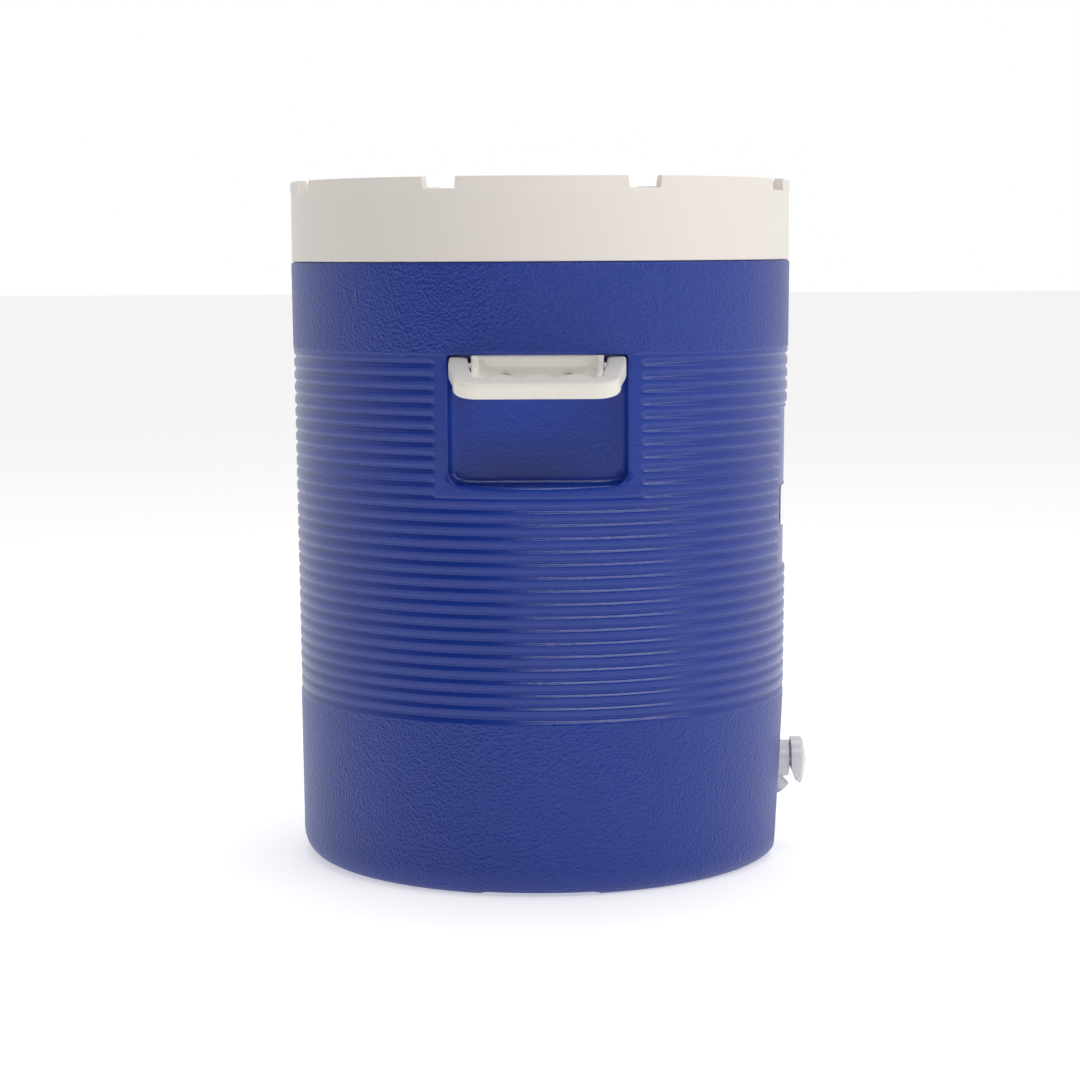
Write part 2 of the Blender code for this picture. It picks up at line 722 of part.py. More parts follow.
def label():
    """A blank sticker on the smooth panel above the tap."""
    low = LABEL_BOTTOM
    high = LABEL_BOTTOM + LABEL_HEIGHT
    drop = RIB_STEP + RIB_DEPTH - GAP
    inner = (wall_radius(low) - drop, wall_radius(high) - drop)
    radii = [(radius, radius + LABEL_THICKNESS) for radius in inner]
    sector("blank_label", radii, (low, high), LABEL_HALF_ANGLE, PANEL_STEPS, white("label_white"))


# ---------------------------------------------------------------------------- lid


def grip_notch_tools():
    """Notches in the rim, two of them either side of each handle."""
    bottom = LID_TOP - NOTCH_DEPTH
    tools = []
    for index in range(GRIP_NOTCHES):
        angle = 2 * math.pi * (index + 0.5) / GRIP_NOTCHES
        outline = [
            (-NOTCH_WIDTH / 2, bottom),
            (NOTCH_WIDTH / 2, bottom),
            (NOTCH_WIDTH / 2, LID_TOP + OVERRUN),
            (-NOTCH_WIDTH / 2, LID_TOP + OVERRUN),
        ]
        inner = LID_RADIUS - 2 * RIM_WIDTH
        tool = prism(f"notch_tool_{index}", outline, "YZ", inner, LID_RADIUS + OVERRUN)
        tool.rotation_euler = (0.0, 0.0, angle)
        tools.append(tool)
    return tools


def lid_shell(lid):
    """The lid's outside: skirt, raised rim with grip notches, and sunk top."""
    rim = LID_RADIUS + RIM_FLARE
    outline = [
        (0.0, LID_DECK),
        (rim - RIM_WIDTH - RIM_SLOPE, LID_DECK),
        (rim - RIM_WIDTH, LID_TOP - RIM_INNER_EDGE),
        (rim - RIM_WIDTH + RIM_INNER_EDGE, LID_TOP),
        (rim - RIM_OUTER_EDGE, LID_TOP),
        (rim, LID_TOP - RIM_OUTER_EDGE),
        (LID_RADIUS, LID_TOP - RIM_FLARE_HEIGHT),
        (LID_RADIUS, LID_BOTTOM + SKIRT_EDGE),
        (LID_RADIUS - SKIRT_EDGE, LID_BOTTOM),
        (LID_RADIUS - LID_WALL, LID_BOTTOM),
        (LID_RADIUS - LID_WALL, LID_DECK - LID_WALL),
        (0.0, LID_DECK - LID_WALL),
    ]
    shell = turned("lid_shell", outline, white("lid_white"))
    cut(shell, *grip_notch_tools())
    shell.parent = lid


def lid_foam(lid):
    """The disc of foam between the sunk top and the lid liner."""
    radius = LID_LINER_RADIUS
    outline = [
        (0.0, LID_PLATE_TOP + GAP),
        (radius, LID_PLATE_TOP + GAP),
        (radius, LID_FOAM_TOP),
        (0.0, LID_FOAM_TOP),
    ]
    turned("lid_foam", outline, foam("lid_foam_cream")).parent = lid


def lid_liner(lid):
    """The plate over the neck, with the threaded skirt."""
    bottom = BODY_HEIGHT + LID_LINER_RISE
    outline = [
        (0.0, LID_PLATE_BOTTOM),
        (LUG_WALL, LID_PLATE_BOTTOM),
        (LUG_WALL, bottom),
        (LID_LINER_RADIUS, bottom),
        (LID_LINER_RADIUS, LID_PLATE_TOP),
        (0.0, LID_PLATE_TOP),
    ]
    liner = turned("lid_liner", outline, white("lid_liner_white"))
    bm = bmesh.new()
    inner = LUG_WALL - LUG_REACH
    outer = LUG_WALL + JOIN_DEPTH
    half_pitch = THREAD_LEAD / THREAD_STARTS / 2
    low = BODY_HEIGHT + THREAD_FOOT + THREAD_LEAD * LUG_START / (2 * math.pi) - half_pitch
    for start in range(THREAD_STARTS):
        angle = 2 * math.pi * start / THREAD_STARTS + LUG_START
        add_thread(bm, outer, inner, THREAD_HEIGHT, angle, LUG_SWEEP, low)
    join(liner, finish("lid_lugs", bm))
    liner.parent = lid


def lid_gasket(lift):
    """The ring that seals the lid liner on top of the neck."""
    outer = NECK_RADIUS - GASKET_INSET
    outline = [
        (outer - GASKET_WIDTH, GASKET_BOTTOM),
        (outer, GASKET_BOTTOM),
        (outer, GASKET_BOTTOM + GASKET_THICKNESS),
        (outer - GASKET_WIDTH, GASKET_BOTTOM + GASKET_THICKNESS),
    ]
    turned("lid_gasket", outline, rubber("gasket_rubber")).parent = lift


# ---------------------------------------------------------------------------- handles


def handle_outline():
    """The handle seen square on: arms that lean in to a bar with finger bumps inside it."""
    behind = HANDLE_THICKNESS / 2
    half = ARM_OUTSIDE - BAR_TAPER
    reach = HANDLE_REACH
    inner_bar = reach - BAR_WIDTH
    corner = HANDLE_CORNER
    right = [(ARM_OUTSIDE, behind), (ARM_OUTSIDE, -ARM_STRAIGHT)]
    right += arc((half - corner, corner - reach), corner, 0, -90, 5)
    left = [(-x, y) for x, y in reversed(right)]
    inside = [(-ARM_INSIDE, behind), (-ARM_INSIDE, -ARM_STRAIGHT)]
    inside += [(-GRIP_HALF, GRIP_CHAMFER - inner_bar), (GRIP_CHAMFER - GRIP_HALF, -inner_bar)]
    for index in range(FINGER_BUMPS):
        centre = (index - (FINGER_BUMPS - 1) / 2) * BUMP_SPACING
        half_bump = (BUMP_SPACING - BUMP_GAP) / 2
        for step in range(BUMP_STEPS + 1):
            across = 2 * step / BUMP_STEPS - 1
            rise = BUMP_HEIGHT * (1 - across * across)
            inside.append((centre + across * half_bump, rise - inner_bar))
    inside += [(GRIP_HALF - GRIP_CHAMFER, -inner_bar), (GRIP_HALF, GRIP_CHAMFER - inner_bar)]
    inside += [(ARM_INSIDE, -ARM_STRAIGHT), (ARM_INSIDE, behind)]
    return right + left + inside


def handle(name, pivot):
    """A bail on two pins, its origin on the pins' axis."""
    half = HANDLE_THICKNESS / 2
    bail = prism(name, handle_outline(), "XY", -half, half, white(name + "_white"))
    profile = arc((0.0, 0.0), half, -90, 90, 6)
    profile += arc((BAR_EDGE - HANDLE_REACH, half - BAR_EDGE), BAR_EDGE, 90, 180, 2)
    profile += arc((BAR_EDGE - HANDLE_REACH, BAR_EDGE - half), BAR_EDGE, 180, 270, 2)
    side = prism(name + "_side_tool", profile, "YZ", -RECESS_WIDTH, RECESS_WIDTH)
    boolean(bail, side, "INTERSECT")
    hole = circle((0.0, 0.0), PIN_RADIUS + PIN_CLEARANCE, PIN_SIDES)
    depth = ARM_INSIDE + PIN_IN_ARM + PIN_CLEARANCE
    bores = prism(name + "_bore_tool", hole, "YZ", -depth, depth)
    cut(bail, bores)
    for piece in (bail, side, bores):
        piece.parent = pivot
        piece.rotation_euler = (HANDLE_DROOP, 0.0, 0.0)


def handle_bracket(name, pivot):
    """The white insert in the top of a recess, with an ear for each pin."""
    back = PIVOT_DEPTH - GAP
    top = PIVOT_DROP - GAP
    low = top - BRACKET_HEIGHT
    ear = [(back, low), (back, top), (-EAR_RADIUS, top)]
    ear += arc((0.0, 0.0), EAR_RADIUS, 180, 270, 4)
    ear.append((back - BRACKET_FOOT, low))
    bracket = prism(name, ear, "YZ", -EAR_OUTSIDE, EAR_OUTSIDE, white(name + "_white"))
    hollow = [
        (back - BRACKET_WALL, low - OVERRUN),
        (back - BRACKET_WALL, top - BRACKET_WALL),
        (-OVERRUN, top - BRACKET_WALL),
        (-OVERRUN, low - OVERRUN),
    ]
    scoop = prism(name + "_scoop_tool", hollow, "YZ", -EAR_INSIDE, EAR_INSIDE)
    hole = circle((0.0, 0.0), PIN_RADIUS + PIN_CLEARANCE, PIN_SIDES)
    bores = prism(name + "_bore_tool", hole, "YZ", -RECESS_WIDTH, RECESS_WIDTH)
    cut(bracket, scoop, bores)
    for piece in (bracket, scoop, bores):
        piece.parent = pivot
    for index, x in enumerate(SCREW_PLACES):
        outline = circle((x, PIVOT_DROP - SCREW_DROP), SCREW_RADIUS + HOLE_CLEARANCE, HOLE_SIDES)
        tool = prism(f"{name}_screw_tool_{index}", outline, "XZ", 0.0, OVERRUN)
        tool.parent = pivot
        cut(bracket, tool)


def handle_pin(name, side, pivot):
    """A headed pin from inside an ear into an arm."""
    start = EAR_INSIDE - GAP - PIN_HEAD
    outline = [
        (0.0, start),
        (PIN_HEAD_RADIUS, start),
        (PIN_HEAD_RADIUS, start + PIN_HEAD),
        (PIN_RADIUS, start + PIN_HEAD),
        (PIN_RADIUS, ARM_INSIDE + PIN_IN_ARM),
        (0.0, ARM_INSIDE + PIN_IN_ARM),
    ]
    pin = turned(name, outline, steel(name + "_steel"), PIN_SIDES)
    pin.rotation_euler = (0.0, side * math.pi / 2, 0.0)
    pin.parent = pivot


def bracket_screw(name, x, pivot):
    """A short screw through the bracket into the shell."""
    face = PIVOT_DEPTH - GAP - BRACKET_WALL - GAP
    outline = [
        (0.0, -face - SCREW_LENGTH),
        (SCREW_RADIUS / 2, -face - SCREW_LENGTH),
        (SCREW_RADIUS, -face - SCREW_LENGTH + SCREW_POINT),
        (SCREW_RADIUS, -face),
        (SCREW_HEAD_RADIUS, -face),
        (SCREW_HEAD_TOP_RADIUS, SCREW_HEAD - face),
        (0.0, SCREW_HEAD - face),
    ]
    screw = turned(name, outline, steel(name + "_steel"), PIN_SIDES)
    screw.rotation_euler = (math.pi / 2, 0.0, 0.0)
    screw.location = (x, 0.0, PIVOT_DROP - SCREW_DROP)
    screw.parent = pivot


def handle_set(side_name, side):
    """A handle, its bracket, pins and screws about one pivot."""
    turn = math.pi * (1 + side) / 2
    pivot = axis_empty(side_name + "_handle_axis", (0.0, side * PIVOT_OUT, PIVOT_HEIGHT), turn)
    handle(side_name + "_handle", pivot)
    handle_bracket(side_name + "_handle_bracket", pivot)
    for end, direction, x in zip("ab", (-1, 1), SCREW_PLACES):
        handle_pin(f"{side_name}_handle_pin_{end}", direction, pivot)
        bracket_screw(f"{side_name}_bracket_screw_{end}", x, pivot)


# ---------------------------------------------------------------------------- tap


def spout_cylinder(name, radius, start, end):
    """A cylinder along the spout. Distances run out from the middle of the spout's mouth."""
    bm = bmesh.new()
    mouth = Vector((FLANGE_FACE + SPOUT_OUT, 0.0, TAP_HEIGHT - SPOUT_DROP))
    along = Vector((math.cos(SPOUT_ANGLE), 0.0, -math.sin(SPOUT_ANGLE)))
    across = Vector((math.sin(SPOUT_ANGLE), 0.0, math.cos(SPOUT_ANGLE)))
    rings = []
    for distance in (start, end):
        ring = []
        for side in range(SPOUT_SIDES):
            angle = 2 * math.pi * side / SPOUT_SIDES
            spoke = across * math.cos(angle) + Vector((0.0, math.sin(angle), 0.0))
            ring.append(mouth + along * distance + spoke * radius)
        rings.append(ring)
    add_loft(bm, rings)
    return finish(name, bm)


def tap_body():
    """Shank, flange, barrel and spout in one moulding, bored through."""
    outline = [
        (SHANK_BORE, SHANK_END),
        (SHANK_RADIUS, SHANK_END),
        (SHANK_RADIUS, FLANGE_BACK),
        (FLANGE_RADIUS, FLANGE_BACK),
        (FLANGE_RADIUS, FLANGE_FACE),
        (BARREL_RADIUS, FLANGE_FACE),
        (BARREL_RADIUS, BARREL_END),
        (BARREL_BORE, BARREL_END),
        (BARREL_BORE, FLANGE_FACE + BARREL_FLOOR),
        (SHANK_BORE, FLANGE_FACE + BARREL_FLOOR),
    ]
    body = turned_along_x("tap_body", outline, white("tap_white"))
    spout = spout_cylinder("tap_spout", SPOUT_RADIUS, -SPOUT_ROOT, 0.0)
    front = [
        (FLANGE_BACK + JOIN_DEPTH, -OVERRUN),
        (BARREL_END + OVERRUN, -OVERRUN),
        (BARREL_END + OVERRUN, OVERRUN),
        (FLANGE_BACK + JOIN_DEPTH, OVERRUN),
    ]
    room = prism("spout_room", front, "XY", 0.0, TAP_HEIGHT + BARREL_RADIUS)
    boolean(spout, room, "INTERSECT", "MANIFOLD")
    clear = turned_along_x(
        "barrel_bore_tool",
        [
            (0.0, FLANGE_FACE + BARREL_FLOOR),
            (BARREL_BORE, FLANGE_FACE + BARREL_FLOOR),
            (BARREL_BORE, BARREL_END + OVERRUN),
            (0.0, BARREL_END + OVERRUN),
        ],
    )
    cut(spout, clear, solver="MANIFOLD")
    join(body, spout, solver="MANIFOLD")
    bore = spout_cylinder("spout_bore_tool", SPOUT_BORE, -SPOUT_BORE_DEPTH, OVERRUN)
    cut(body, bore, solver="MANIFOLD")


def washer(name, start, end, outer):
    """A rubber ring on the shank."""
    inner = SHANK_RADIUS + HOLE_CLEARANCE
    outline = [(inner, start), (outer, start), (outer, end), (inner, end)]
    turned_along_x(name, outline, rubber(name + "_rubber"))


def tap_lock_nut():
    """A hexagon nut on the shank, inside the liner."""
    back = BOSS_FACE - 2 * GAP - TAP_WASHER - NUT_THICKNESS
    outline = [(y, z + TAP_HEIGHT) for y, z in circle((0.0, 0.0), NUT_RADIUS, 6)]
    nut = prism("tap_lock_nut", outline, "YZ", back, back + NUT_THICKNESS, white("nut_white"))
    hole = circle((0.0, TAP_HEIGHT), SHANK_RADIUS + HOLE_CLEARANCE, SMALL_SIDES)
    ends = (back - OVERRUN, back + NUT_THICKNESS + OVERRUN)
    cut(nut, prism("nut_hole_tool", hole, "YZ", *ends))


def tap_bonnet():
    """The ring that closes the barrel and guides the stem."""
    inner = STEM_RADIUS + STEM_PLAY
    outer = BARREL_BORE - GAP
    start = BARREL_END - BONNET_THICKNESS
    outline = [(inner, start), (outer, start), (outer, BARREL_END), (inner, BARREL_END)]
    turned_along_x("tap_bonnet", outline, white("bonnet_white"))


def tap_stem(press):
    """The rod from the button to the seal. Its collar is the stop behind the bonnet."""
    collar_end = BARREL_END - BONNET_THICKNESS - GAP
    collar_start = collar_end - STEM_COLLAR_THICKNESS
    seal_back = SHANK_END - GAP - SEAL_THICKNESS - GAP
    head = seal_back - STEM_HEAD
    tip = BUTTON_BACK + BUTTON_THICKNESS - BUTTON_WALL
    outline = [
        (0.0, head),
        (STEM_HEAD_RADIUS, head),
        (STEM_HEAD_RADIUS, seal_back),
        (STEM_RADIUS, seal_back),
        (STEM_RADIUS, collar_start),
        (STEM_COLLAR, collar_start),
        (STEM_COLLAR, collar_end),
        (STEM_RADIUS, collar_end),
        (STEM_RADIUS, tip),
        (0.0, tip),
    ]
    stem = turned_along_x("tap_stem", outline, white("stem_white"))
    on_axis(stem, press)
    seal_inner = STEM_RADIUS + GAP
    seal = turned_along_x(
        "tap_seal",
        [
            (seal_inner, SHANK_END - GAP - SEAL_THICKNESS),
            (SEAL_BACK_RADIUS, SHANK_END - GAP - SEAL_THICKNESS),
            (SEAL_RADIUS, SHANK_END - GAP),
            (seal_inner, SHANK_END - GAP),
        ],
        rubber("seal_rubber"),
    )
    on_axis(seal, press)


def on_axis(thing, empty):
    """Hang a piece on the tap's empty, which stands on its axis, without moving it."""
    thing.location.z -= empty.location.z
    thing.parent = empty


def tap_spring():
    """The return spring, from the barrel's floor to the stem's collar."""
    start = FLANGE_FACE + BARREL_FLOOR + GAP + SPRING_WIRE
    collar = BARREL_END - BONNET_THICKNESS - GAP - STEM_COLLAR_THICKNESS
    end = collar - GAP - SPRING_WIRE
    curve = bpy.data.curves.new("tap_spring", "CURVE")
    curve.dimensions = "3D"
    curve.bevel_depth = SPRING_WIRE
    curve.bevel_resolution = 1
    curve.use_fill_caps = True
    spline = curve.splines.new("POLY")
    count = SPRING_TURNS * SPRING_POINTS
    spline.points.add(count)
    for index in range(count + 1):
        angle = 2 * math.pi * index / SPRING_POINTS
        x = start + (end - start) * index / count
        y = SPRING_RADIUS * math.cos(angle)
        z = TAP_HEIGHT + SPRING_RADIUS * math.sin(angle)
        spline.points[index].co = (x, y, z, 1.0)
    curve.materials.append(steel("spring_steel"))
    spring = bpy.data.objects.new("tap_spring", curve)
    bpy.context.scene.collection.objects.link(spring)


def button_outline(radius, tail):
    """A disc with a pointed tail below it."""
    points = arc((0.0, TAP_HEIGHT), radius, -TAIL_LEAVES, 180 + TAIL_LEAVES, 16)
    tip = (0.0, TAP_HEIGHT - tail + BUTTON_TAIL_ROUNDING)
    points += arc(tip, BUTTON_TAIL_ROUNDING, 270 - TAIL_TIP, 270 + TAIL_TIP, 3)
    return points


def tap_button(press):
    """The push button: a hollow cap over the barrel, with a dome and a tail."""
    front = BUTTON_BACK + BUTTON_THICKNESS
    outline = button_outline(BUTTON_RADIUS, BUTTON_TAIL)
    button = prism("tap_button", outline, "YZ", BUTTON_BACK, front, white("button_white"))
    dome_points = [(0.0, front - JOIN_DEPTH), (BUTTON_DOME_RADIUS, front - JOIN_DEPTH)]
    for across, rise in arc((0.0, 0.0), 1.0, 0, 60, 2):
        dome_points.append((BUTTON_DOME_RADIUS * across, front + BUTTON_DOME * rise))
    dome_points.append((0.0, front + BUTTON_DOME))
    dome = turned_along_x("button_dome", dome_points)
    cavity_radius = BARREL_RADIUS + BUTTON_PLAY
    cavity_depth = PRESS + BUTTON_PLAY
    cavity = turned_along_x(
        "button_cavity_tool",
        [
            (0.0, BUTTON_BACK - OVERRUN),
            (cavity_radius, BUTTON_BACK - OVERRUN),
            (cavity_radius, BUTTON_BACK + cavity_depth),
            (0.0, BUTTON_BACK + cavity_depth),
        ],
    )
    tip = BUTTON_BACK + BUTTON_THICKNESS - BUTTON_WALL + GAP
    socket = turned_along_x(
        "button_socket_tool",
        [
            (0.0, BUTTON_BACK),
            (STEM_RADIUS + GAP, BUTTON_BACK),
            (STEM_RADIUS + GAP, tip),
            (0.0, tip),
        ],
    )
    low = TAP_HEIGHT - BUTTON_TAIL
    slope = [
        (BUTTON_BACK - OVERRUN, low - OVERRUN),
        (BUTTON_BACK + BUTTON_TAIL_CUT_DEPTH, low - OVERRUN),
        (BUTTON_BACK + BUTTON_TAIL_CUT_DEPTH, low),
        (BUTTON_BACK, low + BUTTON_TAIL_CUT),
        (BUTTON_BACK - OVERRUN, low + BUTTON_TAIL_CUT),
    ]
    back_slope = prism("tail_slope_tool", slope, "XZ", -BUTTON_RADIUS, BUTTON_RADIUS)
    join(button, dome, solver="MANIFOLD")
    cut(button, cavity, socket, back_slope, solver="MANIFOLD")
    for piece in (button, dome, cavity, socket, back_slope):
        on_axis(piece, press)


def tap():
    """The tap, with its button, stem and seal on an empty that slides."""
    tap_body()
    washer("tap_outer_washer", TAP_SEAT + GAP, TAP_SEAT + GAP + TAP_WASHER, FLANGE_RADIUS)
    washer("tap_inner_washer", BOSS_FACE - GAP - TAP_WASHER, BOSS_FACE - GAP, INNER_WASHER_RADIUS)
    tap_lock_nut()
    tap_bonnet()
    tap_spring()
    press = axis_empty("tap_axis", (0.0, 0.0, TAP_HEIGHT))
    tap_stem(press)
    tap_button(press)


# ---------------------------------------------------------------------------- the whole cooler


def main():
    for thing in list(bpy.data.objects):
        bpy.data.objects.remove(thing)
    tap_hole = tap_hole_tool()
    outer_shell(tap_hole)
    foam_plug()
    insulation_foam(tap_hole)
    inner_liner(tap_hole)
    label()
    lift = axis_empty("lid_lift_axis", (0.0, 0.0, 0.0))
    lid = axis_empty("lid_turn_axis", (0.0, 0.0, 0.0))
    lid.parent = lift
    lid_gasket(lift)
    lid_shell(lid)
    lid_foam(lid)
    lid_liner(lid)
    for side_name, side in BODY_SIDES:
        handle_set(side_name, side)
    tap()


main()
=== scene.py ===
# %% [markdown]
# # A round drink cooler, piece by piece
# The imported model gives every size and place. Each visible surface is then worked out again as a
# fine grid, so that the ribs, roundings and thread are real shape and not painted on.

# %% Load the frame
import json
import math

import bpy
import numpy as np
from mathutils import Matrix, Vector

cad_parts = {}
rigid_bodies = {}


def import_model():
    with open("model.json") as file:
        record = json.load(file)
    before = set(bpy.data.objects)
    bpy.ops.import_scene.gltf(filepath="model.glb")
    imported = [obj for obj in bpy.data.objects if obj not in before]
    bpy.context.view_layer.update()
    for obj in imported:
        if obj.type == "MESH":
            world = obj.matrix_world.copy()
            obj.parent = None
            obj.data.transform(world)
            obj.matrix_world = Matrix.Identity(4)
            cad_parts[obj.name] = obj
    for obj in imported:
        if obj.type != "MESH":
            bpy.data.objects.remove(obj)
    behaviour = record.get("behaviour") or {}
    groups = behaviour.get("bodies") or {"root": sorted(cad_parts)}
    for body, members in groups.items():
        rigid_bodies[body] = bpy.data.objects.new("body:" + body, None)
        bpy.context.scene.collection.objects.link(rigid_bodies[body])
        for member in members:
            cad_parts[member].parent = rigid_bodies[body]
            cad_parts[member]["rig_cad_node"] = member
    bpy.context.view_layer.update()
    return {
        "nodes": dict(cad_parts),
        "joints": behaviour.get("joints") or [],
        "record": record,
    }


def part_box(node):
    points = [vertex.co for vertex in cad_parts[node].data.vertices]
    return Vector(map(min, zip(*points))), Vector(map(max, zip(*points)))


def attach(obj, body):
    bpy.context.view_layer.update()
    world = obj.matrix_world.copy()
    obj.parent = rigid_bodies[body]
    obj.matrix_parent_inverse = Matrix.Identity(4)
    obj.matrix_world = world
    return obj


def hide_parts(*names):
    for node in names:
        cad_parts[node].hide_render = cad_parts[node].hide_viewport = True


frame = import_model()

# %% [markdown]
# ## Sizes that the pieces share
# The body, lid, handles and tap are read from the frame's boxes and joints. What a box can't say,
# such as a wall or a rounding, has a name here.

# %% Shared sizes
MM = 0.001
TAU = 2 * math.pi
shell_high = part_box("outer_shell")[1]
lid_low, lid_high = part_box("lid_shell")
liner_low, liner_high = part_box("inner_liner")
tap_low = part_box("tap_body")[0]
button_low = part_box("tap_button")[0]
label_low, label_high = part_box("blank_label")
joints = {joint["name"]: joint for joint in frame["joints"]}

SHOULDER = shell_high.z
BODY_RADIUS = shell_high.y
DRAFT = 0.0096  # how much narrower the wall gets per metre down
RIB_PITCH = 10.44 * MM
RIB_DEPTH = 1.6 * MM
RIB_STEP = 0.4 * MM
TOP_RIB = SHOULDER - 77 * MM
RIBS = 28
BAND_LOW, BAND_HIGH = 141.8 * MM, 434.2 * MM  # the ribbed band stands a little further in
SIDES = (("right", -1), ("left", 1))  # each side's name, and which way along Y it faces
PIVOT_OUT = abs(joints["right_handle_swing"]["pos_m"][1])
PIVOT_HEIGHT = joints["right_handle_swing"]["pos_m"][2]
TAP_HEIGHT = (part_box("tap_stem")[0].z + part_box("tap_stem")[1].z) / 2
print(f"shoulder {SHOULDER:.4f}, radius {BODY_RADIUS:.4f}")
print(f"handle pivot {PIVOT_OUT:.4f} out and {PIVOT_HEIGHT:.4f} up")

# %% [markdown]
# ## From a grid of points to a mesh
# A surface is rows and columns of points. Joining each point to the next in its row and the same
# one in the next row gives the faces, and numpy makes them all at once.

# %% Grid mesh


def smooth(t):
    """Ease from 0 to 1: three t squared less two t cubed."""
    t = np.clip(t, 0.0, 1.0)
    return t * t * (3.0 - 2.0 * t)


def grid_faces(rows, columns, wrap_rows, wrap_columns):
    """Quads of a grid, row after row. A wrapped direction joins its last line to its first."""
    down = np.arange(rows if wrap_rows else rows - 1)
    across = np.arange(columns if wrap_columns else columns - 1)
    r, c = np.meshgrid(down, across, indexing="ij")
    r2, c2 = (r + 1) % rows, (c + 1) % columns
    corners = (r * columns + c, r * columns + c2, r2 * columns + c2, r2 * columns + c)
    return np.stack(corners, axis=-1).reshape(-1, 4)


def make_piece(name, points, faces, body, replaces=(), sharp=40.0, material=None):
    """Put points and faces into a mesh, set it on its body and hide the parts it replaces."""
    mesh = bpy.data.meshes.new(name)
    mesh.from_pydata(points.reshape(-1, 3).tolist(), [], faces)
    mesh.validate()
    mesh.shade_smooth()
    mesh.set_sharp_from_angle(angle=math.radians(sharp))
    piece = bpy.data.objects.new(name, mesh)
    bpy.context.scene.collection.objects.link(piece)
    if material:
        mesh.materials.append(material)
    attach(piece, body)
    if replaces:
        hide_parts(*replaces)
    print(f"{name}: {sum(len(face) - 2 for face in faces)} triangles")
    return piece


def ring_grid(points, wrap_rows=True):
    """Faces of a tube of rows. Where the rows don't wrap, a face closes each end."""
    rows, columns = points.shape[:2]
    faces = grid_faces(rows, columns, wrap_rows, True).tolist()
    if not wrap_rows:
        faces.append(list(range(columns))[::-1])
        faces.append([(rows - 1) * columns + i for i in range(columns)])
    return faces


def sheet_faces(rows, columns):
    """Faces of two like grids, back then front, with a strip round their rims to close them."""
    count = rows * columns
    rim = list(range(columns - 1)) + [r * columns + columns - 1 for r in range(rows - 1)]
    rim += [(rows - 1) * columns + c for c in range(columns - 1, 0, -1)]
    rim += [r * columns for r in range(rows - 1, 0, -1)]
    faces = grid_faces(rows, columns, False, False)
    sides = [[a, b, b + count, a + count] for a, b in zip(rim, rim[1:] + rim[:1])]
    return faces[:, ::-1].tolist() + (faces + count).tolist() + sides


# %% [markdown]
# ## Finishes
# Every finish starts from what the real plastic is. Colours are written as sRGB hex and turned to
# linear light, which is what a shader adds up.

# %% Colour and node helpers


def linear(code):
    """sRGB hex to linear: low values over 12.92, the rest to the power 2.4."""
    parts = [int(code[i : i + 2], 16) / 255 for i in (1, 3, 5)]
    return [v / 12.92 if v <= 0.04045 else ((v + 0.055) / 1.055) ** 2.4 for v in parts] + [1.0]


def add(tree, kind, settings=None, links=None):
    """Add one node. Settings are its own fields or its sockets' values, links are what feeds it."""
    node = tree.nodes.new(kind)
    for key, value in (settings or {}).items():
        if isinstance(key, str) and hasattr(node, key):
            setattr(node, key, value)
        else:
            node.inputs[key].default_value = value
    for key, socket in (links or {}).items():
        tree.links.new(socket, node.inputs[key])
    return node


def finish_named(name, colour, roughness, **sockets):
    """A material with its main shader set, and the object's own coordinates."""
    material = bpy.data.materials.new(name)
    material.use_nodes = True
    tree = material.node_tree
    shader = tree.nodes["Principled BSDF"]
    shader.inputs["Base Color"].default_value = linear(colour)
    shader.inputs["Roughness"].default_value = roughness
    for key, value in sockets.items():
        shader.inputs[key.replace("_", " ")].default_value = value
    place = add(tree, "ShaderNodeTexCoord").outputs["Object"]
    return material, tree, shader, place


def per_metre(size_in_mm):
    """Scale of a noise whose features are this many millimetres across."""
    return 1.0 / (size_in_mm * MM)


# %% [markdown]
# ## Blow-moulded polyethylene
# The body is blown against a spark-textured mould, so its plain bands carry a pebble grain about
# 2 mm across. Over the ribs the mould is smoother, and the plastic is a little shinier there.

# %% Body blue


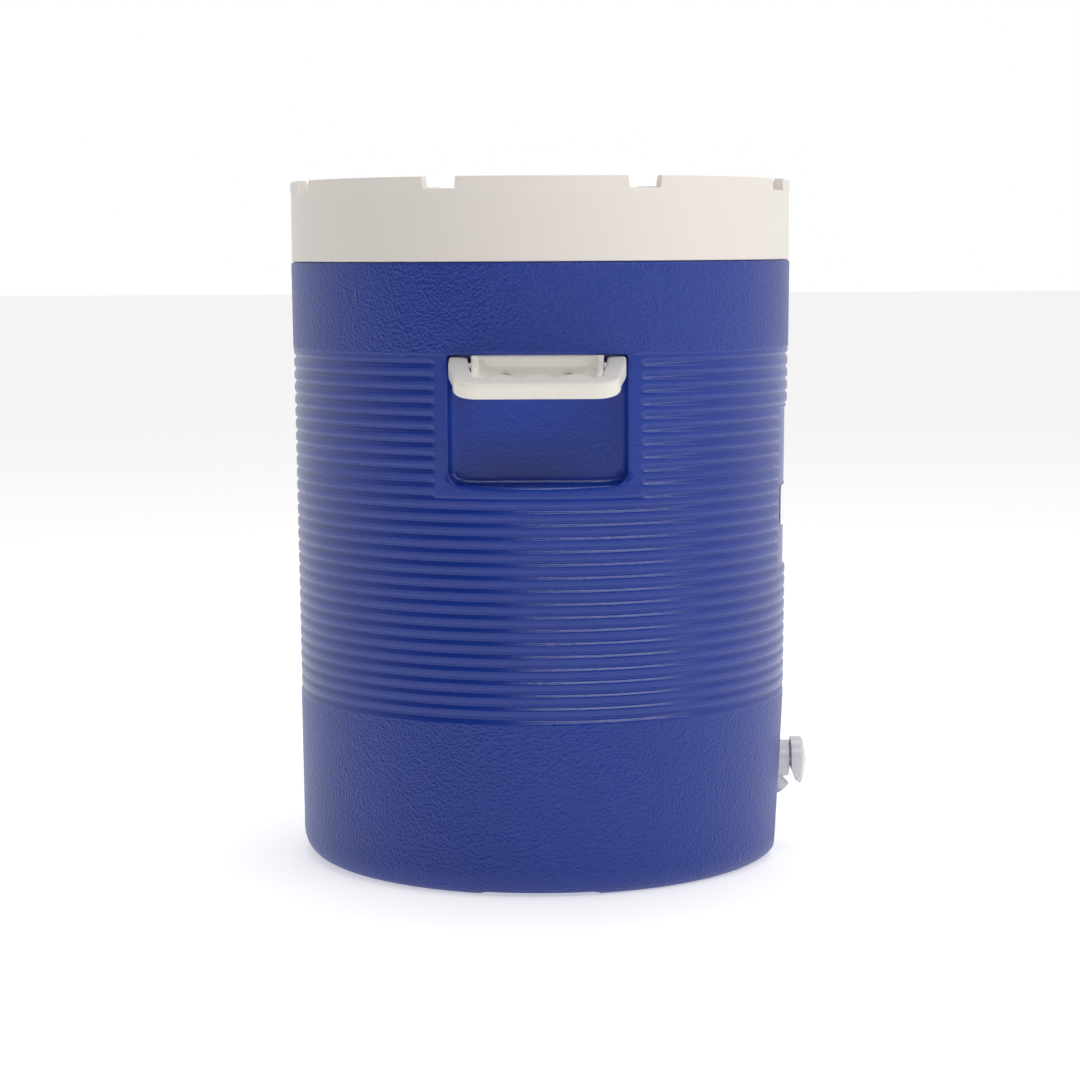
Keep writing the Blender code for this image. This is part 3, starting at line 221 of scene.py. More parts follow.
def body_blue():
    material, tree, shader, place = finish_named(
        "blown_polyethylene_blue", "#1a3494", 0.36, IOR=1.51, Specular_IOR_Level=0.5
    )
    height = add(tree, "ShaderNodeSeparateXYZ", links={0: place}).outputs["Z"]
    above = add(
        tree,
        "ShaderNodeMapRange",
        {"From Min": TOP_RIB + 2 * MM, "From Max": TOP_RIB + 8 * MM},
        {"Value": height},
    ).outputs[0]
    below = add(
        tree,
        "ShaderNodeMapRange",
        {"From Min": 0.142, "From Max": 0.138},
        {"Value": height},
    ).outputs[0]
    plain = add(tree, "ShaderNodeMath", {"operation": "MAXIMUM"}, {0: above, 1: below}).outputs[0]
    # pebble grain 2.2 mm across, and a finer one inside it
    pebble = add(
        tree,
        "ShaderNodeTexVoronoi",
        {"feature": "SMOOTH_F1", "Scale": per_metre(2.2), "Smoothness": 0.6},
        {"Vector": place},
    ).outputs["Distance"]
    fine = add(
        tree, "ShaderNodeTexNoise", {"Scale": per_metre(0.9), "Detail": 2.0}, {"Vector": place}
    ).outputs[0]
    grain = add(
        tree, "ShaderNodeMath", {"operation": "MULTIPLY_ADD", 1: 0.35}, {0: fine, 2: pebble}
    ).outputs[0]
    strength = add(
        tree, "ShaderNodeMapRange", {"To Min": 0.12, "To Max": 1.0}, {"Value": plain}
    ).outputs[0]
    bump = add(
        tree,
        "ShaderNodeBump",
        {"Distance": 0.8 * MM},
        {"Height": grain, "Strength": strength},
    ).outputs[0]
    tree.links.new(bump, shader.inputs["Normal"])
    # the pigment varies very slightly where the wall is thicker
    cloud = add(
        tree, "ShaderNodeTexNoise", {"Scale": per_metre(90), "Detail": 3.0}, {"Vector": place}
    ).outputs[0]
    tint = add(
        tree,
        "ShaderNodeMix",
        {"data_type": "RGBA", 6: linear("#0c2d86"), 7: linear("#103493")},
        {0: cloud},
    ).outputs[2]
    tree.links.new(tint, shader.inputs["Base Color"])
    gloss = add(
        tree, "ShaderNodeMapRange", {"To Min": 0.27, "To Max": 0.36}, {"Value": plain}
    ).outputs[0]
    tree.links.new(gloss, shader.inputs["Roughness"])
    return material


BLUE = body_blue()

# %% [markdown]
# ## White plastics
# The lid is injection-moulded polypropylene with a satin face. The handles and tap are the same
# plastic from polished tools, so they are smoother. All show faint flow marks as roughness.

# %% White plastics


def moulded_white(name, colour, roughness, grain_mm, grain_strength):
    """Injection-moulded plastic: slow changes in gloss, and a very fine grain."""
    material, tree, shader, place = finish_named(name, colour, roughness, IOR=1.49)
    flow = add(
        tree, "ShaderNodeTexNoise", {"Scale": per_metre(35), "Detail": 2.0}, {"Vector": place}
    ).outputs[0]
    gloss = add(
        tree,
        "ShaderNodeMapRange",
        {"To Min": roughness - 0.05, "To Max": roughness + 0.05},
        {"Value": flow},
    ).outputs[0]
    tree.links.new(gloss, shader.inputs["Roughness"])
    grain = add(
        tree, "ShaderNodeTexNoise", {"Scale": per_metre(grain_mm), "Detail": 1.0}, {"Vector": place}
    ).outputs[0]
    bump = add(
        tree,
        "ShaderNodeBump",
        {"Strength": grain_strength, "Distance": 0.2 * MM},
        {"Height": grain},
    ).outputs[0]
    tree.links.new(bump, shader.inputs["Normal"])
    shader.inputs["Subsurface Weight"].default_value = 0.05
    shader.inputs["Subsurface Radius"].default_value = (2 * MM, 1.6 * MM, 1.3 * MM)
    return material


LID_WHITE = moulded_white("satin_polypropylene_off_white", "#e6dfd8", 0.42, 0.8, 0.12)
HANDLE_WHITE = moulded_white("polished_polypropylene_white", "#e6e2d9", 0.30, 1.5, 0.03)
TAP_WHITE = moulded_white("polished_polypropylene_tap_white", "#e2e0e2", 0.28, 1.5, 0.03)
LINER_WHITE = moulded_white("vacuum_formed_polyethylene_white", "#ecebe6", 0.38, 1.2, 0.08)
LABEL_WHITE = moulded_white("vinyl_film_white", "#f2f2f0", 0.32, 0.5, 0.04)

# %% [markdown]
# ## Rubber, steel and foam
# Small pieces show at the seams and when the lid is off: a grey silicone gasket, stainless pins
# and screws with turning marks, and cream polyurethane foam.

# %% Rubber, steel and foam


def grained(name, colour, roughness, size_mm, strength, **sockets):
    """A finish with one noise that lifts its surface."""
    material, tree, shader, place = finish_named(name, colour, roughness, **sockets)
    noise = add(
        tree, "ShaderNodeTexNoise", {"Scale": per_metre(size_mm), "Detail": 4.0}, {"Vector": place}
    ).outputs[0]
    bump = add(
        tree, "ShaderNodeBump", {"Strength": strength, "Distance": 0.3 * MM}, {"Height": noise}
    ).outputs[0]
    tree.links.new(bump, shader.inputs["Normal"])
    return material


RUBBER = grained("silicone_rubber_grey", "#c9c7c1", 0.62, 0.7, 0.15)
STEEL = grained("turned_stainless_steel", "#c4c6c8", 0.28, 0.4, 0.08, Metallic=1.0)
FOAM = grained("polyurethane_foam_cream", "#dcc48f", 0.9, 1.6, 0.6)
CAD_FINISHES = {
    "shell": BLUE,
    "lid": LID_WHITE,
    "handle": HANDLE_WHITE,
    "tap": TAP_WHITE,
    "liner": LINER_WHITE,
    "label": LABEL_WHITE,
    "rubber": RUBBER,
    "steel": STEEL,
    "foam": FOAM,
}
for entry in frame["record"]["subparts"]:
    node = frame["nodes"][entry["node"]]
    node.data.materials.clear()
    node.data.materials.append(CAD_FINISHES[entry["material_slot"]])
print("finished", len(frame["nodes"]), "frame nodes")

# %% [markdown]
# ## The shell, part 1: columns round the body
# The shell is one grid. Its columns crowd together where the wall turns into a recess, and spread
# out where the wall is plain. A recess has its own columns: across its flat back, round its
# corner, out along its side and over its lip.

# %% Recess sections and columns


class Recess:
    """A pocket in the wall: where it faces, its size, its back and its roundings, in metres."""

    def __init__(self, facing, half, low, high, back, corner, lip, fillets, steps):
        self.facing, self.half, self.low, self.high, self.back = facing, half, low, high, back
        self.corner, self.lip, self.fillets, self.steps = corner, lip, fillets, steps

    def half_columns(self):
        """Share across the back, angle round the fillet, share out the side, angle over the lip."""
        flat, bend, side, lip = self.steps
        total = flat + bend + side + lip
        k = np.arange(total + 1, dtype=float)
        return (
            np.clip(k / flat, 0, 1),
            np.clip((k - flat) / bend, 0, 1) * math.pi / 2,
            np.clip((k - flat - bend) / side, 0, 1),
            np.clip((k - flat - bend - side) / lip, 0, 1) * math.pi / 2,
            k / total,
        )


HANDLE_BACK = PIVOT_OUT - 13 * MM  # how far out the back of a handle's recess stands
HANDLE_TOP = PIVOT_HEIGHT + 8 * MM


def tap_recess():
    corners, fillets = (12 * MM, 12 * MM), (3 * MM, 3 * MM, 3 * MM)
    return Recess(
        0.0, 35 * MM, 34 * MM, 116 * MM, 188 * MM, corners, 1.5 * MM, fillets, (5, 3, 2, 3)
    )


def handle_recess(facing):
    corners, fillets = (12 * MM, 3 * MM), (9 * MM, 4 * MM, 1.5 * MM)
    return Recess(
        facing, 70.5 * MM, HANDLE_TOP - 103 * MM, HANDLE_TOP, HANDLE_BACK,
        corners, 2.4 * MM, fillets, (8, 6, 3, 4),
    )


RECESSES = [tap_recess(), handle_recess(math.pi / 2), handle_recess(-math.pi / 2)]
FRAME_HALF = 82 * MM  # smooth border round a handle recess, where the ribs stop
FRAME_BELOW = 8.5 * MM
PANEL_HALF = math.radians(17.3)  # smooth label panel above the tap
PANEL_LOW, PANEL_HIGH = 246.5 * MM, 382.5 * MM


def wall_radius(z):
    """Outside of the plain wall: the shoulder's radius less the draft times the drop."""
    return BODY_RADIUS - DRAFT * (SHOULDER - z)


def column_angles():
    """Azimuths of the plain wall's columns, and for each column its recess and place in it."""
    angles, owner, index = [], [], []
    spans = []
    for number, recess in enumerate(RECESSES):
        edge = math.asin((recess.half + recess.lip) / wall_radius((recess.low + recess.high) / 2))
        share = recess.half_columns()[4]
        count = len(share) - 1
        for k in range(-count, count + 1):
            angles.append(recess.facing + edge * k / count)
            owner.append(number)
            index.append(k)
        spans.append((recess.facing - edge, recess.facing + edge))
    frame_edges = [math.asin(v * MM / BODY_RADIUS) for v in (76, 79.5, 81, 82.5, 84, 86)]
    extra = []
    for facing in (math.pi / 2, -math.pi / 2):
        extra += [facing + sign * v for v in frame_edges for sign in (-1, 1)]
    degrees = (11.2, 12.2, 13.2, 14.2, 15.2, 16.2, 17.0, 17.3, 17.6, 18.2, 19.5)
    extra += [sign * math.radians(v) for v in degrees for sign in (-1, 1)]
    fill = np.radians(np.arange(22.0, 65.0, 2.6))
    extra += [sign * v for v in fill for sign in (-1, 1)]
    extra += list(np.radians(np.arange(116.0, 180.0, 2.9)))
    extra += list(np.radians(-np.arange(116.0, 180.0, 2.9)))
    for angle in extra:
        if not any(low - 0.004 < angle < high + 0.004 for low, high in spans):
            angles.append(angle)
            owner.append(-1)
            index.append(0)
    order = np.argsort(angles)
    return np.array(angles)[order], np.array(owner)[order], np.array(index)[order]


COLUMNS, OWNER, PLACE = column_angles()
print("shell columns:", len(COLUMNS))

# %% [markdown]
# ## The shell, part 2: how deep a row stands in a recess
# Going up the wall, a row first meets the recess's lower lip, runs in along its ledge, turns up
# its back and comes out again at the top. Measured along that path, height and depth are two
# curves, and every row looks itself up in them.

# %% Depth curves


def depth_curve(recess, grow, depth, band):
    """Heights and depth shares along a recess's upright section, against the row's own height."""
    quarter = np.linspace(0, math.pi / 2, 6)
    lip, low_bend, high_bend = recess.lip, recess.fillets[1], recess.fillets[2]
    low, high = recess.low - grow, recess.high + grow

    def entry(edge, bend, sign):
        z = [edge - sign * band]
        s = [0.0]
        z += list(edge - sign * lip * (1 - np.sin(quarter)))
        s += list(lip / depth * (1 - np.cos(quarter)))
        z += list(edge + sign * bend * (1 - np.cos(quarter)))
        s += list(1 - bend / depth * (1 - np.sin(quarter)))
        z.append(edge + sign * band)
        s.append(1.0)
        z, s = np.array(z), np.array(s)
        run = np.concatenate([[0], np.cumsum(np.hypot(np.diff(z), depth * np.diff(s)))])
        return z, s, edge - sign * band + sign * 2 * band * run / run[-1]

    z1, s1, t1 = entry(low, low_bend, 1)
    z2, s2, t2 = entry(high, high_bend, -1)
    return (
        np.concatenate([[-1], t1, t2[::-1], [2]]),
        np.concatenate([[-1], z1, z2[::-1], [2]]),
        np.concatenate([[0], s1, s2[::-1], [0]]),
    )


BAND = 6 * MM  # rows this far either side of a recess's edge carry its lip and ledge


def flat_front(z, grow):
    """The sloping flat round the tap: how far out it stands, with a rounded step at its top."""
    top = 143.5 * MM
    out = BODY_RADIUS - 5.5 * MM - 0.0735 * (top - z)
    return out - grow + 20 * MM * smooth((z - top + 1.5 * MM) / (4 * MM))


def rib_relief(z):
    """How far in the wall stands at a height between the ribs.

    From a rib's top down: a face, an edge that turns in, a groove and the next rib's shoulder.
    """
    fraction = ((TOP_RIB + RIB_PITCH / 2 - z) / RIB_PITCH) % 1.0
    keys = [0.0, 0.08, 0.30, 0.50, 0.58, 0.66, 0.74, 0.84, 0.93, 1.0]
    depths = [0.04, 0.0, 0.0, 0.06, 0.66, 1.0, 1.0, 0.70, 0.30, 0.04]
    return np.interp(fraction, keys, depths)


def rib_share(z, angle):
    """Where the ribs show: 1 on the band, 0 on the borders round the handle recesses and on the
    plain bands.
    """
    low, high = TOP_RIB - RIB_PITCH * (RIBS - 0.5), TOP_RIB + RIB_PITCH / 2
    share = smooth((z - low) / (0.6 * MM)) * smooth((high - z) / (0.6 * MM))
    for recess in RECESSES[1:]:
        across = np.abs(wall_radius(z) * np.sin(angle - recess.facing))
        near = np.cos(angle - recess.facing) > 0
        beyond_side = across - FRAME_HALF
        beyond_low = recess.low - FRAME_BELOW - z
        gap = np.maximum(beyond_side, beyond_low)
        share = share * np.where(near, smooth(gap / (2.4 * MM)), 1.0)
    return share


def panel_share(z, angle):
    """1 inside the label panel, 0 outside it."""
    side = (PANEL_HALF - np.abs(angle)) * BODY_RADIUS
    gap = np.minimum(np.minimum(side, z - PANEL_LOW), PANEL_HIGH - z)
    return smooth(0.5 + gap / (1.5 * MM))


def wall_surface(heights, grow=0.0):
    """Points of the wall for rows at these heights. Grown by a wall it is the inside."""
    z = np.asarray(heights)[:, None]
    angle = COLUMNS[None, :]
    ease = 0.8 * MM
    step = RIB_STEP * smooth((z - BAND_LOW) / ease) * smooth((BAND_HIGH - z) / ease)
    inward = step + (RIB_DEPTH + RIB_STEP) * panel_share(z, angle)
    relief = RIB_DEPTH * rib_relief(z) * rib_share(z, angle) * (1 - panel_share(z, angle))
    if grow:
        inward, relief = RIB_STEP + RIB_DEPTH + grow, 0.0
    radius = np.broadcast_to(wall_radius(z) - inward - relief, (len(z), angle.size))
    x, y = radius * np.cos(angle), radius * np.sin(angle)
    x = np.minimum(x, flat_front(z, grow))
    out_z = np.broadcast_to(z, x.shape).copy()
    for number, recess in enumerate(RECESSES):
        mine = np.where(OWNER == number)[0]
        k = PLACE[mine]
        flat, bend, side, over, _ = (part[np.abs(k)][None, :] for part in recess.half_columns())
        middle = (recess.low + recess.high) / 2
        depth = wall_radius(middle) - recess.back
        tau, zs, shares = depth_curve(recess, grow, depth, BAND)
        level = np.interp(z, tau, zs)
        share = np.interp(z, tau, shares)
        rise = np.clip(recess.low - grow + recess.corner[0] - level, 0, recess.corner[0])
        drop = np.clip(level - (recess.high + grow - recess.corner[1]), 0, recess.corner[1])
        loss = recess.corner[0] - np.sqrt(recess.corner[0] ** 2 - rise**2)
        loss = loss + recess.corner[1] - np.sqrt(recess.corner[1] ** 2 - drop**2)
        half = recess.half + grow - loss
        round_back = recess.fillets[0]
        back = recess.back - grow
        rim = half + recess.lip
        rim_out = np.sqrt(np.maximum(radius[:, mine] ** 2 - rim**2, 0))
        if number == 0:
            rim_out = np.minimum(rim_out, flat_front(z, grow))
        across = (half - round_back) * flat + round_back * np.sin(bend)
        across = across + recess.lip * (1 - np.cos(over))
        out = back + round_back * (1 - np.cos(bend))
        out = out + side * (rim_out - recess.lip - back - round_back) + recess.lip * np.sin(over)
        across = across * np.sign(k)[None, :]
        forward = np.array([math.cos(recess.facing), math.sin(recess.facing)])
        sideways = np.array([-forward[1], forward[0]])
        x_in = out * forward[0] + across * sideways[0]
        y_in = out * forward[1] + across * sideways[1]
        x[:, mine] += share * (x_in - x[:, mine])
        y[:, mine] += share * (y_in - y[:, mine])
        out_z[:, mine] = np.broadcast_to(level, (len(z), len(mine)))
    return np.stack([x, y, out_z], axis=-1)


# %% [markdown]
# ## The shell, part 3: rows up the body, over the shoulder and down inside
# Each rib takes nine rows. The foot, the shoulder and the inside wall close the grid into one
# hollow body with a hole in its floor, where the foam was poured in.

# %% Shell


def ring_row(radius, z):
    """One plain row of the grid, as a circle with the shell's columns."""
    x, y = radius * np.cos(COLUMNS), radius * np.sin(COLUMNS)
    return np.stack([x, y, np.full_like(x, z)], axis=-1)[None]


def shell_rows():
    """Heights of the rows on the outside, thickest where the shape changes fastest."""
    steps = np.array([0.0, 0.08, 0.30, 0.50, 0.58, 0.66, 0.74, 0.84, 0.93])
    tops = TOP_RIB + RIB_PITCH / 2 - RIB_PITCH * np.arange(RIBS)
    rows = list((tops[:, None] - RIB_PITCH * steps[None, :]).ravel())
    rows += list(np.linspace(24 * MM, 140 * MM, 12)) + [141.4 * MM, 142.6 * MM, 144.5 * MM]
    for recess in RECESSES[:2]:
        for edge in (recess.low, recess.high):
            rows += list(np.linspace(edge - BAND, edge + BAND, 15))
    rows += list(np.linspace(436 * MM, SHOULDER - 2.5 * MM, 9)) + [434.6 * MM]
    rows = np.unique(np.round(rows, 5))
    keep = np.concatenate([[True], np.diff(rows) > 0.25 * MM])
    return rows[keep]


def outer_shell():
    foot_radius, foot_width, hollow, bend = 190 * MM, 12 * MM, 7 * MM, 21 * MM
    plug = 12.2 * MM
    parts = [
        ring_row(plug, hollow),
        ring_row(0.10, hollow),
        ring_row(foot_radius - foot_width - hollow - 2 * MM, hollow),
        ring_row(foot_radius - foot_width - hollow + 1 * MM, hollow - 1 * MM),
        ring_row(foot_radius - foot_width - 1 * MM, 0.8 * MM),
        ring_row(foot_radius - foot_width + 1 * MM, 0.0),
        ring_row(foot_radius - 1 * MM, 0.0),
    ]
    for angle in np.linspace(0.12, 1.0, 11) * math.pi / 2:
        z = bend * (1 - math.cos(angle))
        row = ring_row(foot_radius + (wall_radius(bend) - foot_radius) * math.sin(angle), z)
        row[..., 0] = np.minimum(row[..., 0], flat_front(row[..., 2], 0.0))
        parts.append(row)
    parts.append(wall_surface(shell_rows()))
    edge = 2.5 * MM
    for angle in np.linspace(0, math.pi / 2, 6):
        radius = BODY_RADIUS - edge * (1 - math.cos(angle))
        parts.append(ring_row(radius, SHOULDER - edge * (1 - math.sin(angle))))
    mouth, brim, inside_floor = 191 * MM, 3 * MM, 9.8 * MM
    parts.append(ring_row(mouth, SHOULDER))
    parts.append(ring_row(mouth, SHOULDER - brim))
    inner = [SHOULDER - brim, 460 * MM, 445 * MM]
    grow = 2.8 * MM
    for recess in (RECESSES[1], RECESSES[0]):
        high, low = recess.high + grow, recess.low - grow
        inner += list(np.linspace(high + BAND, high - BAND, 6)) + [(high + low) / 2]
        inner += list(np.linspace(low + BAND, low - BAND, 6))
    inner = np.array([z for z in inner if z > 28 * MM])
    parts.append(wall_surface(inner, grow))
    parts.append(ring_row(foot_radius - 4 * MM, inside_floor))
    parts.append(ring_row(plug, inside_floor))
    points = np.concatenate(parts)
    # finger notches: under each handle the foot's lowest rows are lifted
    notch = smooth((46 * MM - np.abs(points[..., 0])) / (2.5 * MM) + 0.5)
    outside = np.hypot(points[..., 0], points[..., 1]) > 166 * MM
    lifted = np.maximum(points[..., 2], 2.8 * MM * notch * (np.abs(points[..., 1]) > 0.1))
    points[..., 2] = np.where(outside, lifted, points[..., 2])
    return make_piece(
        "shell", points, ring_grid(points), "cooler_body", ["outer_shell"], 60, BLUE
    )


outer_shell()

# %% [markdown]
# ## The liner
# The white tub is turned, and its neck carries four thread ridges. A ridge is a bump in the neck's
# radius that climbs as it goes round, and fades in and out at its ends.

# %% Liner


def even_turn(sides):
    """Azimuths of this many even columns."""
    return TAU * np.arange(sides) / sides


def revolve(profile, turn):
    """Spin (radius, height) pairs: x is radius times cosine, y is radius times sine."""
    profile = np.asarray(profile, float)
    radius, z = profile[:, :1], profile[:, 1:]
    rows = (radius * np.cos(turn), radius * np.sin(turn), z + 0 * turn)
    return np.stack(rows, axis=-1)


def quarter_arc(centre, radius, start, end, steps):
    """Points on an arc between two angles in degrees."""
    angle = np.radians(np.linspace(start, end, steps + 1))
    return [(centre[0] + radius * math.cos(a), centre[1] + radius * math.sin(a)) for a in angle]


THREADS = 4


def inner_liner():
    top, inside, neck = liner_high.z, 176 * MM, 197 * MM
    wall, floor = 2.5 * MM, liner_low.z
    threads = np.linspace(SHOULDER + 4 * MM, SHOULDER + 29 * MM, 56)
    profile = [(1 * MM, floor + wall)]
    profile += quarter_arc((inside - 10 * MM, floor + wall + 10 * MM), 10 * MM, -90, 0, 6)
    profile += [(inside, z) for z in np.linspace(80 * MM, top - 4 * MM, 12)]
    profile += quarter_arc((inside + 2 * MM, top - 2 * MM), 2 * MM, 180, 90, 4)
    profile += quarter_arc((neck - 2 * MM, top - 2 * MM), 2 * MM, 90, 0, 4)
    profile += [(neck, z) for z in threads[::-1]]
    profile += [(neck, SHOULDER + 0.4 * MM), (neck - wall, SHOULDER + 0.4 * MM)]
    profile += [(neck - wall, top - wall), (inside + wall, top - wall)]
    profile += [(inside + wall, floor + 12 * MM), (inside - 10 * MM, floor), (1 * MM, floor)]
    turn = even_turn(288)
    points = revolve(profile, turn)
    ridge = np.zeros(points.shape[:2])
    for start in range(THREADS):
        along = ((turn - TAU * start / THREADS) % TAU)[None, :]
        middle = SHOULDER + 8 * MM + 30 * MM * along / TAU
        sweep = math.radians(97.5)
        ends = smooth(along / 0.06) * smooth((sweep - along) / 0.06)
        ridge = np.maximum(ridge, ends * smooth(2.2 - np.abs(points[..., 2] - middle) / (0.8 * MM)))
    on_neck = np.hypot(points[..., 0], points[..., 1]) > neck - 0.1 * MM
    scale = 1 + 2.9 * MM * ridge * on_neck / neck
    points[..., 0] *= scale
    points[..., 1] *= scale
    faces = ring_grid(points, wrap_rows=False)
    return make_piece(
        "liner", points, faces, "cooler_body", ["inner_liner"], 50, LINER_WHITE
    )


inner_liner()

# %% [markdown]
# ## The lid
# The lid is turned too. Its rim has eight grip notches: columns crowd at each notch's sides, and
# the rim's height drops there with a small rounding.

# %% Lid

NOTCHES = 8
LID_TURN = math.radians(1.2)  # how far past its mark the lid is screwed down


def lid_columns():
    """Azimuths with extra columns at both sides of each notch."""
    angles = list(np.radians(np.arange(0.0, 360.0, 1.8)))
    half = 14 * MM / BODY_RADIUS
    for index in range(NOTCHES):
        centre = TAU * (index + 0.5) / NOTCHES + LID_TURN
        beside = half + np.linspace(-0.9, 0.9, 7) * MM / BODY_RADIUS
        for sign in (-1, 1):
            angles += list(centre + sign * beside)
    angles = np.unique(np.round(np.mod(angles, TAU), 5))
    keep = np.concatenate([[True], np.diff(angles) > 0.0010])
    return angles[keep]


def lid_skin():
    turn = lid_columns()
    bottom, top = lid_low.z, lid_high.z
    skirt, rim = BODY_RADIUS - 0.6 * MM, lid_high.y
    deck, wall = top - 12 * MM, 3 * MM
    inner_rim = rim - 7.5 * MM
    profile = [(1 * MM, deck), (60 * MM, deck), (120 * MM, deck), (180 * MM, deck)]
    profile += quarter_arc((inner_rim - 4 * MM, deck + 2 * MM), 2 * MM, -90, 0, 4)
    profile += [(inner_rim - 1.2 * MM, deck + 2 * MM + t) for t in np.linspace(0.8, 6.5, 8) * MM]
    profile += quarter_arc((inner_rim + 1.0 * MM, top - 1.2 * MM), 1.2 * MM, 180, 90, 4)
    profile += quarter_arc((rim - 1.6 * MM, top - 1.6 * MM), 1.6 * MM, 90, 0, 5)
    down = np.linspace(0, 1, 14)
    profile += [(rim - 0.6 * MM * smooth(t), top - 2.2 * MM - 12 * MM * t) for t in down]
    profile += [(skirt, z) for z in np.linspace(top - 18 * MM, bottom + 2 * MM, 9)]
    profile += quarter_arc((skirt - 1.2 * MM, bottom + 1.2 * MM), 1.2 * MM, 0, -90, 4)
    profile += [(skirt - wall, bottom), (skirt - wall, deck - wall), (1 * MM, deck - wall)]
    points = revolve(profile, turn)
    nearest = ((turn - LID_TURN) * NOTCHES / TAU) % 1.0 - 0.5
    across = np.abs(nearest) * TAU / NOTCHES * BODY_RADIUS
    cut = smooth((14 * MM - across) / (1.2 * MM) + 0.5)
    on_rim = np.array([[radius > inner_rim - 4 * MM] for radius, _ in profile])
    floor_z = top - 10 * MM
    lowered = points[..., 2] - cut[None, :] * np.maximum(points[..., 2] - floor_z, 0) * 0.96
    points[..., 2] = np.where(on_rim, lowered, points[..., 2])
    faces = ring_grid(points, wrap_rows=False)
    return make_piece("lid_cover", points, faces, "lid", ["lid_shell"], 50, LID_WHITE)


lid_skin()

# %% [markdown]
# ## The handles
# A handle is one rounded bar carried along a path: down an arm, round a corner, along the grip and
# back. Three finger bumps swell from the grip's inner face, and the mould's parting line runs
# round its outer face.

# %% Handles

DROOP = math.radians(17.3)  # how far below level a handle rests
BUMP_SPACING, BUMP_HALF = 28 * MM, 12.6 * MM
BUMP_RISE, BUMP_SWELL = 4 * MM, 1.5 * MM  # inwards, and on each face
SEAM = 0.35 * MM


def handle_path():
    """Middle line of the handle in its own plane, with its width and thickness at each point."""
    arm, reach, bar, radius = 62 * MM, 62 * MM, 18 * MM, 12 * MM
    lean = 4.5 * MM
    start = 6.5 * MM * np.cos(np.linspace(0.12, math.pi / 2, 8))
    points = [(arm, -v) for v in start]
    middle = reach - bar / 2
    straight = middle - radius
    for v in np.linspace(3 * MM, straight, 12):
        points.append((arm - lean * smooth((v - 10 * MM) / (straight - 10 * MM)), v))
    corner = arm - lean - radius
    points += [
        (corner + radius * math.cos(a), straight + radius * math.sin(a))
        for a in np.linspace(0, math.pi / 2, 13)[1:]
    ]
    points += [(u, middle) for u in np.linspace(corner, 0, 50)[1:]]
    half = np.array(points)
    path = np.concatenate([half, half[-2::-1] * [-1, 1]])
    depth = path[:, 1]
    width = np.where(depth > straight, 15 + 3 * smooth((depth - straight) / radius), 15.0) * MM
    behind = np.clip(-depth, 0, 6.5 * MM)
    thick = 2 * np.sqrt((6.5 * MM) ** 2 - behind**2)
    return path, width, thick, corner


def handle(side):
    """Sweep a rounded rectangle: each section is its cosine and sine to the power two thirds."""
    path, width, thick, corner = handle_path()
    along = np.gradient(path, axis=0)
    along /= np.linalg.norm(along, axis=1)[:, None]
    outward = np.stack([-along[:, 1], along[:, 0]], axis=1) * -1.0
    around = np.concatenate([np.linspace(0, TAU, 40, endpoint=False), [0.04, -0.04 + TAU]])
    around = np.sort(around)
    c, s = np.cos(around), np.sin(around)
    across = np.sign(c) * np.abs(c) ** 0.3
    up = np.sign(s) * np.abs(s) ** 0.3
    reach = width[:, None] / 2 * across[None, :]
    u = path[:, :1]
    bump = np.zeros_like(u)
    for centre in (-BUMP_SPACING, 0.0, BUMP_SPACING):
        bump = np.maximum(bump, 1 - ((u - centre) / BUMP_HALF) ** 2)
    on_bar = (np.abs(path[:, :1]) < corner) & (path[:, 1:] > 30 * MM)
    inner = np.clip(-across, 0, 1)[None, :]
    swell = np.clip(bump, 0, 1) * on_bar * inner
    reach = reach - BUMP_RISE * swell
    seam = (np.abs(s) < 0.02)[None, :] & (c > 0)[None, :]
    reach = reach - SEAM * seam * on_bar
    lift = (thick[:, None] / 2 + BUMP_SWELL * swell) * up[None, :]
    flat = path[:, None, :] + outward[:, None, :] * reach[..., None]
    x, v = flat[..., 0], flat[..., 1]
    y = -v * math.cos(DROOP) - lift * math.sin(DROOP)
    z = -v * math.sin(DROOP) + lift * math.cos(DROOP)
    return np.stack([x * -side, side * -(y - PIVOT_OUT), z + PIVOT_HEIGHT], axis=-1)


def outward_faces(piece):
    """Turn a closed mesh's faces outwards by the sign of its volume."""
    mesh = piece.data
    mesh.calc_loop_triangles()
    corners = np.empty(3 * len(mesh.loop_triangles), np.int32)
    mesh.loop_triangles.foreach_get("vertices", corners)
    place = np.empty(3 * len(mesh.vertices), np.float32)
    mesh.vertices.foreach_get("co", place)
    a, b, c = place.reshape(-1, 3).astype(float)[corners.reshape(-1, 3)].swapaxes(0, 1)
    volume = np.einsum("ij,ij->i", a, np.cross(b, c)).sum() / 6
    if volume < 0:
        mesh.flip_normals()
    return volume


for side_name, side in SIDES:
    points = handle(side)
    make_piece(
        side_name + "_handle_grip", points, ring_grid(points, wrap_rows=False),
        side_name + "_handle", [side_name + "_handle"], 60, HANDLE_WHITE,
    )

# %% [markdown]
# ## The handle brackets
# Each bracket is a shallow scoop set in the top of its recess. Its back runs into both ears on a
# wide curve, so nothing catches a knuckle, and the ears cover the heads of the pins.

# %% Bracket scoops


